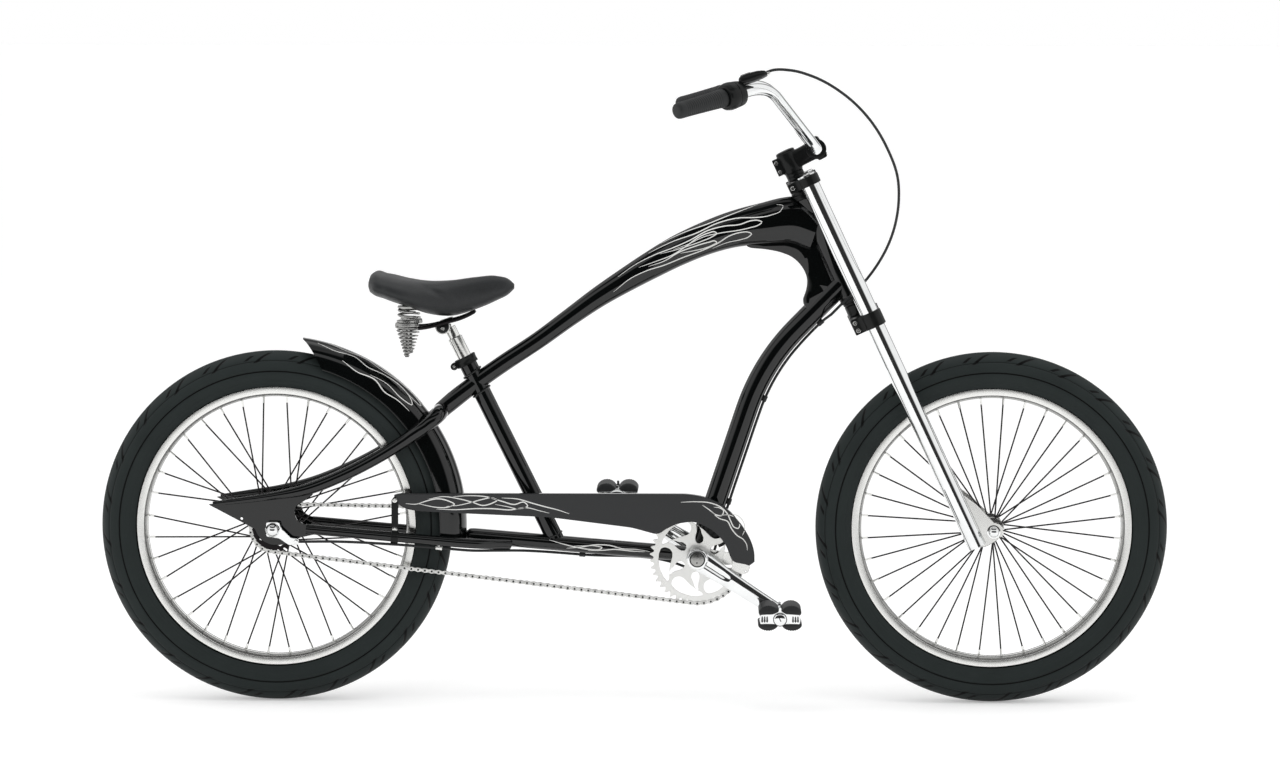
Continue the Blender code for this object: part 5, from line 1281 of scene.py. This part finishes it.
def make_guard_mounts():
    """The rear strap on its chainstay band, and the silver bracket at the front."""
    strap = outline(3, 5, 217, -15.5, 229.5, -15.5, 229.5, 54.5, 223.2, 61, 217, 54.5)
    rear, front = at(*(CHAIN_STAY[:2] * (1, 1, -1)).T)
    solid = Solid().plate([strap], -63.3, -60.3, .8)
    solid.lathe(BAND, at(223.2, -14.2, -66.5), front - rear, 40)
    set_down("guard_strap_band", solid, SATIN, "guard_strap")
    bolts = Solid()
    for z in (53.5, -.5):
        bolts.lathe(GUARD_BOLT, at(223.2, z), -ACROSS, 24)
    plate = np.concatenate([rayed(19.0, np.linspace(80, 280, 24)) + RING_SPOT,
                            table(2, 810, -69.5, 865, -66.5, 881, -63.5, 881, -51.5, 812, -40)])
    solid = Solid().plate([plate, hole(14, 40, *RING_SPOT)], -36.8, -34.3, .6)
    solid.lathe(bevelled(-58.3, -34, 4, .5), at(878, -57.5), ACROSS, 24)
    hook = outline(3, 5, 846, -56, 879, -66.5, 874.5, -80, 866, -83, 844, -74.5)
    solid.plate([hook, hole(1.8, 18, 870, -77)], -58.3, -56.2, .6)
    set_down("guard_bracket_plate", solid, ALLOY, "guard_bracket")
    set_down("guard_bolts", bolts, ALLOY)


class BIKE_OT_guard(bpy.types.Operator):
    """Build the chain guard and its mounts"""

    bl_idname = "bike.guard"
    bl_label = "Chain guard"

    def execute(self, context):
        make_guard()
        make_guard_mounts()
        return {"FINISHED"}


CHAIN_LINE = 50.5
CHAIN_PITCH = 12.7
CHAIN_LINKS = 156
RING_TEETH = 42
COG_TEETH = 22
PITCH_FRONT = CHAIN_PITCH / (2 * math.sin(math.pi / RING_TEETH))
PITCH_REAR = CHAIN_PITCH / (2 * math.sin(math.pi / COG_TEETH))
CRANK_LENGTH = 180.0
CRANK_PLANE = 72.5
FLUTE_WIDTH = 4.2
FLUTE_DEPTH = 3.6
CRANK_RUN = np.array([math.cos(math.radians(33.0)), 0.0, -math.sin(math.radians(33.0))])
# Windows of the chainring: distance and degrees round its middle
COMMA = table(2, 47, -7, 46, 2, 48.5, 12, 53, 22, 59, 33, 66, 43, 71, 44, 72, 34, 72, 22, 72, 10,
              71.5, 0, 69.5, -9, 63, -13, 54, -13)
DROP = table(2, 26.5, -3, 27, 8, 33, 13, 41, 11, 48, 7.5, 56, 7.5, 61, 8.5, 58, 3, 52, -1, 45, -4,
             39, -11, 31.5, -13)


def chain_loop():
    """Points at equal steps on the two arcs and two straight runs round both sprockets."""
    base = math.atan2(RING_SPOT[1], RING_SPOT[0])
    lean = math.acos((PITCH_REAR - PITCH_FRONT) / np.linalg.norm(RING_SPOT))
    front = np.degrees(np.linspace(base + lean, base - lean, 300))
    rear = np.degrees(np.linspace(base - lean, base + lean - 2 * math.pi, 200))
    loop = np.concatenate([RING_SPOT + rayed(PITCH_FRONT, front), rayed(PITCH_REAR, rear)])
    return evened(np.concatenate([loop, loop[:1]]), CHAIN_LINKS + 1)[:-1]


def prism(solid, loop, low, high, places, run):
    """The same flat loop at two levels off the chain's line, at many places and turned along each run."""
    flat = np.concatenate([loop, loop])
    out = np.stack([-run[:, 1], run[:, 0]], -1)
    spots = places[:, None] + run[:, None] * flat[:, 0:1] + out[:, None] * flat[:, 1:2]
    level = np.repeat([low, high], len(loop)) - CHAIN_LINE
    return solid.prisms(at(spots[..., 0], spots[..., 1], level))


def make_chain():
    """The chain: waisted side plates on every pin, inner and outer pairs by turns, and rollers between; the
    pins and rollers are near-black satin, painted shade between the plates and on the pin heads.
    """
    spots = chain_loop()
    onward = np.roll(spots, -1, 0) - spots
    half = np.linalg.norm(onward, axis=1).mean() / 2
    cap = rayed(4.1, [-110, -70, -25, 25, 70, 110]) + (half, 0)
    link = np.concatenate([cap, [(0, 2.4)], cap[::-1] * (-1, 1), [(0, -2.4)]])
    solid = Solid()
    for parity, low, high in ((0, 3.0, 3.9), (1, 2.1, 2.9)):
        pick = slice(parity, None, 2)
        for levels in ((-high, -low), (low, high)):
            prism(solid, link, *levels, (spots + onward / 2)[pick], unit(onward)[pick])
    set_down("chain_links", solid, "chain_steel", "chain", slot=DARK, sharp=40)
    # Rollers and pins in near-black satin: painted shade between the side plates and on the pin heads.
    solid = Solid()
    level = np.tile([1.0, 0.0], (CHAIN_LINKS, 1))
    for radius, sides, reach in ((3.6, 10, 2.0), (1.9, 8, 4.5)):
        prism(solid, oval(radius, radius, 2.0, sides), -reach, reach, spots, level)
    set_down("chain_pins_painted_shade", solid, SATIN, slot=DARK, sharp=40)


def toothed(teeth, pitch):
    """A sprocket's outline: between teeth the root dips below the pitch circle, each tip is blunt."""
    share = np.array([0.0, .10, .24, .38, .46, .54, .62, .76, .90])
    depth = np.array([-4.2, -3.8, -1.6, 1.8, 3.1, 3.1, 1.8, -1.6, -3.8])
    return rayed(pitch + depth, -360 * (np.arange(teeth)[:, None] + share) / teeth).reshape(-1, 2)


def make_ring():
    """The chainring with six rim windows and six drops, its spider face, and the rear sprocket."""
    loops = [toothed(RING_TEETH, PITCH_FRONT), hole(8.7, 40, 0, 0)]
    for rows, first, reach in ((COMMA, 175, 3), (DROP, 84, 2)):
        loops += [eased(rayed(rows[:, 0], rows[:, 1] + first + 60 * n), reach, 5, True) for n in range(6)]
    solid = Solid().plate([loop + RING_SPOT for loop in loops], -CHAIN_LINE - 1.3, -CHAIN_LINE + 1.3, .4)
    set_down("chainring_disc", solid, "ring_alloy", "chainring", "cranks", ALLOY, 30)
    holes = [hole(6.2, 24, *rayed(29.0, 72 * number)) for number in range(5)]
    solid = Solid().plate([toothed(COG_TEETH, PITCH_REAR), hole(12, 40, 0, 0), *holes],
                          -CHAIN_LINE - 1.2, -CHAIN_LINE + 1.2, .4)
    solid.lathe((-49.4, 5.6, -49.4, 17.5, -48.6, 19, -47.8, 19, -47.8, 5.6), REAR_HUB, ACROSS)
    set_down("sprocket_disc", solid, DARK, "rear_sprocket", "cog", sharp=30)


# Crank arm: share of its length, half width, half thickness
CRANK = table(3, 0, 19.5, 6.2, .03, 19.8, 6.4, .1, 19.6, 6.6, .2, 18.5, 6.6, .3, 17.2, 6.4, .4, 16.2, 6.2,
              .55, 15.2, 6, .7, 14.6, 5.8, .85, 14.3, 5.7, 1, 14, 5.6)
CRANK_EYE = (66.2, 7, 66.2, 13.6, 67.2, 14.6, 77.5, 14.6, 78.5, 13.6, 78.5, 7)
CRANK_CAP = (80.6, 12.5, 82.8, 12.7, 83.6, 12.2, 84, 10.5, 84.2, 1)
PEDAL_BARREL = (84, 4.6, 84, 9.8, 85.2, 10.5, 172, 10.5, 172.8, 11.2, 176, 11.2, 177.4, 10, 178, 8, 178, 1)
PEDAL_NUT = (78.6, 4.6, 78.6, 7.8, 83.8, 7.8, 83.8, 4.6)
# Pedal lobe: distance from the middle plane, and its section's share there
LOBE = table(2, 84.8, .72, 85.8, .9, 89, .98, 94, 1, 164, 1, 169, .98, 171.8, .9, 173, .72)


def make_cranks():
    """Both crank arms: bars forked by a flute at the root, bosses, eyes, and the spindle with its caps; a
    black ring round each cap and two black dots on it are painted shade of the boss's recess and of the
    cap's pin holes.
    """
    caps = Solid()
    for side, word in SIDES:
        out = ACROSS * side
        run = -side * CRANK_RUN
        fine = np.linspace(0, 1, 90)
        wide, thick = (np.interp(fine, CRANK[:, 0], CRANK[:, n]) for n in (1, 2))
        loop = oval(thick, wide, 2.3, 64)
        fine = fine[:, None]
        flute = np.exp(-((loop[..., 1] / FLUTE_WIDTH) ** 2)) * np.clip((.40 - fine) / .10, 0, 1)
        flute *= np.clip((fine - .04) / .06, 0, 1)
        loop[..., 0] -= np.sign(loop[..., 0]) * flute * FLUTE_DEPTH
        middle = BRACKET + run * fine * CRANK_LENGTH + out * CRANK_PLANE
        inboard = 52.0 if side < 0 else 34.8
        boss = (inboard, 9, inboard, 17.8, inboard + .8, 18.6, 77, 20, 79.5, 19.6, 81.5, 18.4, 82.5, 16.6,
                82.5, 14.6, 80.5, 14.2, 80.5, 9)
        tip = BRACKET + run * CRANK_LENGTH
        solid = Solid().grid(laid(middle, out, np.cross(run, ACROSS), loop)).lathe(boss, BRACKET, out, 64)
        solid.lathe(CRANK_EYE, tip, out).lathe((70, 4.4, 165, 4.4), tip, out, 24)
        set_down(f"crank_arm_{word}", solid, CHROME, f"crank_{word}", "cranks", sharp=50)
        for turn in (1.45, 4.6):
            spot = BRACKET + np.array([math.cos(turn), 0, math.sin(turn)]) * 6.2
            # Two small black dots on each cap: painted shade standing for its pin holes.
            caps.lathe((83.8, 1.4, 84.5, 1.4, 84.5, .3), spot, out, 16, 1)
    # The black ring round each cap is painted shade of the recess in the boss.
    caps.both(CRANK_CAP, BRACKET).both((80, 12, 80, 14.4, 82.1, 14.4, 82.1, 12), BRACKET, 48, 1)
    caps.lathe((-76.5, 8.5, 76.5, 8.5), BRACKET, ACROSS, 24)
    set_down("crank_caps", caps, f"spring_steel {RUBBER}", "crank_axle", "cranks", DARK)


def make_pedals():
    """Both pedals: four soft tread lobes on a slotted cage, a barrel and a round end cap."""
    cage = [outline(1.4, 4, -35.5, -8.5, 35.5, -8.5, 37.5, 0, 35.5, 8.5, 12, 10, 2.2, 15, 2.2, 21.5,
                    -2.2, 21.5, -2.2, 15, -12, 10, -35.5, 8.5, -37.5, 0)]
    cage += [oval(1.3, 5.2, 3.0, 18) + (x, 0) for x in (-32.5, -28, -23.5, 23.5, 28, 32.5)]
    reach, share = LOBE.T[:, :, None]
    for side, word in SIDES:
        out = ACROSS * side
        tip = BRACKET - side * CRANK_RUN * CRANK_LENGTH
        body = f"pedal_{word[0]}"
        solid = Solid().lathe(PEDAL_BARREL, tip, out, 40).lathe(PEDAL_NUT, tip, out, 6)
        for low, high in ((84.5, 87.5), (171.5, 174.5)):
            solid.plate(cage, *sorted((side * low, side * high)), .6,
                        lambda x, z, y: tip + np.stack(np.broadcast_arrays(x, y, z), -1))
        set_down(f"pedal_cage_{word}", solid, CHROME, f"pedal_{word}", body, sharp=40)
        solid = Solid()
        turn = turns(56)
        for over, rise, tall, apart in ((-1, -14.8, 6.6, 21.8), (1, 15.0, 9.8, 20.8)):
            wide = raised(np.cos(turn), 2 / 2.2)
            high = tall * raised(np.sin(turn), 2 / 2.2) - over * 3.5 * wide ** 2
            z = rise + high * share + .4 * np.cos(turn * 28)
            for fore in (-1, 1):
                x = fore * (apart + 18.2 * wide * share)
                solid.grid(tip + np.stack(np.broadcast_arrays(x, side * reach, z), -1))
        solid.lathe((174.4, 9, 174.4, 12.7, 175.6, 12.7, 175.6, 9), tip, out, 32)
        solid.boxed(tip + out * 177.8, (ACROSS, AHEAD, UP), (.6, .8, 4), 4.0, .3)
        set_down(f"pedal_lobes_{word}", solid, RUBBER, f"pedal_tread_{word}", body, sharp=60)


REAR_SPACER = (52.3, 5, 52.3, 9.8, 53, 10.4, 61.6, 10.4, 62.2, 9.8, 62.2, 5)
REAR_NUT = (69, 5.2, 69, 14.8, 69.7, 15.4, 71.2, 15.4, 71.6, 12.8, 79, 12.4, 80, 11.2, 80, 5)
LEVER_DOME = (85.8, 13, 86.6, 13.2, 88.5, 12.8, 93.5, 10.8, 97.2, 7.2, 99.2, 3.2, 99.5, .4)


def make_rear_end():
    """The rear axle with spacers, its domed nuts, and the shift lever."""
    solid = Solid().both(REAR_SPACER, REAR_HUB, 32).both(REAR_NUT, REAR_HUB)
    solid.lathe((-85.5, 4.9, 85.5, 4.9), REAR_HUB, ACROSS, 24)
    set_down("rear_axle_nuts", solid, CHROME, "rear_axle", slot=DARK)
    lever = outline(4, 6, -12, -12, 12, -15.5, 30, -28, 48, -27, 48, -16, 34, -14.5, 14, 4.5, 12, 14.5,
                    -12, 14.5)
    solid = Solid().plate([lever, hole(1.6, 16, 42.5, -21.2)], -86, -82.5, .8)
    solid.lathe(LEVER_DOME, REAR_HUB, -ACROSS)
    solid.lathe((80, 3.6, 90.5, 3.6, 91.2, 2.8, 91.2, .5), at(42.5, -21.2), -ACROSS, 24)
    set_down("shift_lever_plate", solid, CHROME, "shift_lever", slot=ALLOY)


class BIKE_OT_drive(bpy.types.Operator):
    """Build the chain, chainring, sprocket, cranks, pedals and rear axle"""

    bl_idname = "bike.drive"
    bl_label = "Drive"

    def execute(self, context):
        make_chain()
        make_ring()
        make_cranks()
        make_pedals()
        make_rear_end()
        return {"FINISHED"}


# Pinstripe strokes. Tank and lower tube: mm ahead of the rear hub, percent of the half height.
# Fender: degrees round the hub, percent across. Guard: mm ahead of and above the rear hub.
TANK_STROKES = (
    (640, 60, 672, 66, 706, 54, 738, 34, 770, 30, 802, 42, 832, 34, 858, 20, 880, 27, 893, 22, 899, 12,
     893, 1, 878, -6, 852, -8, 822, 4, 794, 16, 764, 12, 738, 22),
    (676, 34, 704, 10, 732, -6, 760, 6, 786, 26, 803, 27, 814, 20, 816, 10, 808, 0, 790, -4, 766, 0,
     738, 16, 716, 40),
    (690, 4, 716, -16, 744, -10, 770, -16, 798, -25, 809, -31, 811, -41, 802, -49, 785, -50, 766, -38,
     746, -20),
    (622, -30, 654, -6, 684, -16, 714, -42, 748, -52, 786, -58, 812, -48, 834, -28, 858, -22, 871, -27,
     877, -38, 871, -51, 855, -60, 828, -60, 800, -68),
    (700, 84, 742, 70, 784, 54, 820, 62, 856, 56, 890, 38, 918, 36, 936, 48, 940, 64, 930, 76),
    (724, 96, 768, 88, 808, 78, 844, 82, 876, 90, 896, 97))
FENDER_STROKES = (
    (77, 30, 71, 42, 65, 34, 60, 46, 54, 36, 49, 30, 44, 38, 42, 52, 46, 60, 52, 56, 58, 62),
    (74, 12, 68, 22, 62, 14, 56, 24, 50, 14, 45, 10, 41, 16, 40, 28, 44, 34, 50, 28),
    (68, 62, 62, 72, 56, 66, 51, 76, 46, 70, 41, 68),
    (60, 6, 54, 9, 48, 3, 43, 2, 40, 7))
GUARD_STROKES = (
    (243, 47, 262, 46, 282, 52, 302, 56, 322, 52, 333, 46, 322, 41, 302, 40, 284, 43, 266, 47),
    (284, 55, 312, 60, 342, 56, 366, 50, 386, 44, 402, 48, 412, 54, 402, 58, 384, 55, 362, 49, 340, 44,
     318, 42),
    (330, 60, 360, 62, 392, 60, 420, 52, 444, 46, 462, 50, 468, 44, 452, 38, 430, 42, 408, 46),
    (300, 37, 336, 36, 372, 38, 404, 38, 436, 36, 466, 40, 492, 34, 508, 30),
    (420, 58, 450, 56, 478, 48, 500, 42, 524, 36, 545, 29),
    (750, 51, 778, 52, 804, 50, 824, 42, 836, 30, 842, 17, 849, 5, 856, 3, 859, 11, 854, 20, 845, 26,
     834, 28, 822, 26),
    (790, 46, 803, 37, 815, 28, 826, 27, 829, 35, 821, 41, 811, 42),
    (806, 34, 822, 21, 836, 16, 844, 2, 854, -10, 866, -18, 872, -28, 873, -38),
    (842, 30, 856, 26, 866, 14, 868, 0, 864, -10))
LOWER_STROKES = (
    (506, 45, 530, 10, 556, -20, 580, -34, 600, -22, 604, 4, 590, 18, 570, 6, 552, -8),
    (538, -45, 566, -12, 590, 30, 618, 40, 642, 12, 668, 18, 693, 5),
    (578, -50, 602, -34, 628, -5, 658, -8, 684, -2))


def on_tank(rows, lift):
    """Points on the top tube's right side from x and percent of its half height."""
    line = tank_line()
    spot = np.interp(-rows[:, 0], -line[:, 0], np.arange(TANK_FINE))
    turn = np.arccos(raised(np.clip(rows[:, 1] / 100, -0.98, 0.98), TANK_POWER / 2))
    return tank_skin(spot / (TANK_FINE - 1), -turn, lift)


def on_fender(rows, lift):
    """Points on the fender's right side from degrees and percent across."""
    return fender_skin(rows[:, 0], rows[:, 1] / -100, lift)


def on_guard(rows, lift):
    """Points on the guard's outer face."""
    return at(rows[:, 0], rows[:, 1], GUARD_FACE - lift)


def on_lower(rows, lift):
    """Points on the lower tube's right side from x and percent of its half height."""
    height = np.clip(rows[:, 1] / 100, -0.95, 0.95)
    side = (LOWER_WIDE + lift) * (1 - np.abs(height) ** LOWER_POWER) ** (1 / LOWER_POWER)
    middle = LOWER_START[1] + (rows[:, 0] - LOWER_START[0]) / LOWER_RUN[0] * LOWER_RUN[1]
    return at(rows[:, 0], middle + height * (LOWER_HIGH + lift), -side)


def make_stripes():
    """Flame pinstripes: thin enamel ribbons laid on the surfaces, pointed at both ends."""
    width = bpy.context.scene.bike_sizes.stripe_width * 1000
    share = np.linspace(0, 1, 110)
    half = width / 2 * (0.16 + 0.84 * np.sin(np.pi * share) ** 0.55)[:, None]
    for name, strokes, drape, spread, mirrors in (("tank", TANK_STROKES, on_tank, 0.3, (1, -1)),
                                                  ("fender", FENDER_STROKES, on_fender, 0.3, (1, -1)),
                                                  ("guard", GUARD_STROKES, on_guard, 1.0, (1,)),
                                                  ("lower", LOWER_STROKES, on_lower, 0.3, (1, -1))):
        solid = Solid()
        for stroke in strokes:
            flat = np.insert(table(2, *stroke) * (1, spread), 2, 0, axis=1)
            line = smooth_line(flat, 110)[:, :2] / (1, spread)
            top, low = drape(line, 0.3), drape(line, -0.4)
            over = np.cross(unit(top - low), unit(np.gradient(top, axis=0))) * half
            ribbon = np.stack([low + over, top + over, top - over, low - over], 1)
            for side in mirrors:
                solid.grid(ribbon * (1, side, 1))
        set_down(f"{name}_pinstripes", solid, "pinstripe", slot="", sharp=60)


class BIKE_OT_stripes(bpy.types.Operator):
    """Lay the flame pinstripes on the top tube, fender, guard and lower tube"""

    bl_idname = "bike.stripes"
    bl_label = "Pinstripes"

    def execute(self, context):
        make_stripes()
        return {"FINISHED"}


def dress_frame_parts():
    """Gives every CAD node that still shows the procedural finish of its own material's name."""
    for item in frame["nodes"].values():
        if item.hide_render:
            continue
        name = item.material_slots[0].material.name.split(".")[0]
        for place in item.material_slots:
            place.material = finish_called(name)


class BIKE_OT_finishes(bpy.types.Operator):
    """Put the procedural finishes on the carried-over parts"""

    bl_idname = "bike.finishes"
    bl_label = "Finishes"

    def execute(self, context):
        dress_frame_parts()
        return {"FINISHED"}


def light_world():
    """White round the object, with a tall dark zone and its bright window in front and two dim strips.

    The strips stand off to the sides at the back, and the zone is what gloss paint and chrome mirror.
    """
    world = bpy.data.worlds.new("studio")
    bpy.context.scene.world = world
    world.use_nodes = True
    tree = world.node_tree
    tree.nodes.clear()
    sky = Finish("studio", tree)
    way = sky.node("ShaderNodeTexCoord", output="Generated")
    x, y, z = sky.parts(way, 3)
    ahead = (y * -1.0).ramp(-0.05, 0.05) * (1.0 - x.ramp(0.55, 0.75)) * (1.0 - (x * -1.0).ramp(0.60, 0.80))
    window = z.ramp(0.42, 0.48) * (1.0 - z.ramp(0.68, 0.74))
    front = ahead * (1.0 - window) * (1.0 - z.ramp(0.90, 0.97))
    strips = y.ramp(0.62, 0.74) * (1.0 - y.ramp(0.90, 0.965))
    level = 1.0 - front * 0.97 - strips * 0.75 - z.ramp(0.93, 0.98) * 0.5
    seen = sky.node("ShaderNodeLightPath", output="Is Camera Ray")
    mirrored = sky.node("ShaderNodeLightPath", output="Is Glossy Ray")
    strength = seen + (1.0 - seen) * (mirrored * level + (1.0 - mirrored) * 0.90)
    shine = sky.node("ShaderNodeBackground", values={"Color": (1.0, 1.0, 1.0, 1.0), "Strength": strength})
    sky.node("ShaderNodeOutputWorld", values={"Surface": shine})


def lamp(name, place, aim, size, power):
    """A soft area lamp at a place, turned to a point."""
    data = bpy.data.lights.new(name, "AREA")
    data.shape = "RECTANGLE"
    data.size, data.size_y = size
    data.energy = power
    item = bpy.data.objects.new(name, data)
    item.location = place
    item.rotation_euler = (Vector(aim) - Vector(place)).to_track_quat("-Z", "Y").to_euler()
    bpy.context.scene.collection.objects.link(item)
    item.visible_glossy = False
    return item


def stand_floor(level):
    """A wide pale floor that keeps the shadow and shows white to the camera and in polished metal.

    It ends a little way in front of the object, so that upright chrome mirrors the dark zone there.
    """
    data = bpy.data.meshes.new("floor")
    size, front = 400.0, -4.5
    corners = [(-size, front, level), (size, front, level), (size, size, level), (-size, size, level)]
    data.from_pydata(corners, [], [(0, 1, 2, 3)])
    finish = Finish("studio_floor")
    grain = finish.noise(3.0, 2.0)
    seen = finish.node("ShaderNodeLightPath", output="Is Camera Ray")
    mirrored = finish.node("ShaderNodeLightPath", output="Is Glossy Ray")
    finish.wear(Base_Color=finish.mix(grain, (0.79, 0.79, 0.79, 1), (0.81, 0.81, 0.81, 1)),
                Roughness=0.55, Specular_IOR_Level=0.2)
    glow = finish.mix(seen + mirrored, (0.0, 0.0, 0.0, 1), (0.30, 0.30, 0.30, 1))
    finish.wear(Emission_Color=glow, Emission_Strength=1.0)
    data.materials.append(finish.material)
    item = bpy.data.objects.new("floor", data)
    bpy.context.scene.collection.objects.link(item)


def aim_camera(lens):
    """The camera at the fitted viewpoint: yaw, pitch and roll from a straight look along y."""
    yaw, pitch, roll = -0.0160, 0.0814, 0.0013
    forward = Vector((math.sin(yaw) * math.cos(pitch), math.cos(yaw) * math.cos(pitch), -math.sin(pitch)))
    right = Vector((math.cos(yaw), -math.sin(yaw), 0.0))
    above = right.cross(forward)
    x = math.cos(roll) * right + math.sin(roll) * above
    y = math.cos(roll) * above - math.sin(roll) * right
    data = bpy.data.cameras.new("camera")
    data.sensor_width = 36.0
    data.lens = lens
    data.clip_start, data.clip_end = 0.1, 1000.0
    item = bpy.data.objects.new("camera", data)
    turn = Matrix((x, y, -forward)).transposed()
    item.matrix_world = Matrix.Translation((0.5169, -8.0, 0.4598)) @ turn.to_4x4()
    bpy.context.scene.collection.objects.link(item)
    bpy.context.scene.camera = item


class BIKE_OT_stage(bpy.types.Operator):
    """Build the floor, camera, world and lamps"""

    bl_idname = "bike.stage"
    bl_label = "Stage"

    def execute(self, context):
        stage = context.scene.bike_stage
        context.scene.view_settings.view_transform = "Standard"
        aim_camera(stage.lens)
        stand_floor(stage.floor)
        light_world()
        lamp("lamp_top", (0.4, -0.8, 4.2), (0.4, 0.0, 0.0), (5.0, 3.0), 60.0 * stage.lamp)
        lamp("lamp_front", (-1.8, -5.0, 2.4), (0.4, 0.0, 0.0), (3.0, 2.4), 50.0 * stage.lamp)
        return {"FINISHED"}


class BIKE_PT_panel(bpy.types.Panel):
    """Lists the bicycle's pieces"""

    bl_idname = "BIKE_PT_panel"
    bl_label = "Chopper bicycle"
    bl_space_type = "VIEW_3D"
    bl_region_type = "UI"
    bl_category = "Bicycle"

    def draw(self, context):
        for operator in OPERATORS:
            self.layout.operator(operator.bl_idname)
        for settings in (context.scene.bike_sizes, context.scene.bike_colours, context.scene.bike_stage):
            box = self.layout.box()
            for name in settings.__annotations__:
                box.prop(settings, name)


SETTINGS = {"bike_colours": BikeColours, "bike_sizes": BikeSizes, "bike_stage": BikeStage}
OPERATORS = (BIKE_OT_stage, BIKE_OT_tank, BIKE_OT_tubes, BIKE_OT_fork, BIKE_OT_cockpit, BIKE_OT_wheels,
             BIKE_OT_saddle, BIKE_OT_fender, BIKE_OT_guard, BIKE_OT_drive, BIKE_OT_stripes,
             BIKE_OT_finishes)


def register():
    """Adds the settings, operators and panel to Blender."""
    for name, settings in SETTINGS.items():
        bpy.utils.register_class(settings)
        setattr(bpy.types.Scene, name, bpy.props.PointerProperty(type=settings))
    for operator in OPERATORS:
        bpy.utils.register_class(operator)
    bpy.utils.register_class(BIKE_PT_panel)


def unregister():
    """Takes them away again."""
    bpy.utils.unregister_class(BIKE_PT_panel)
    for operator in OPERATORS:
        bpy.utils.unregister_class(operator)
    for name, settings in SETTINGS.items():
        delattr(bpy.types.Scene, name)
        bpy.utils.unregister_class(settings)


def main():
    """Builds every piece in order."""
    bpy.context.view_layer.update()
    register()
    for operator in OPERATORS:
        getattr(bpy.ops.bike, operator.bl_idname.split(".")[1])()


if __name__ == "__main__":
    main()
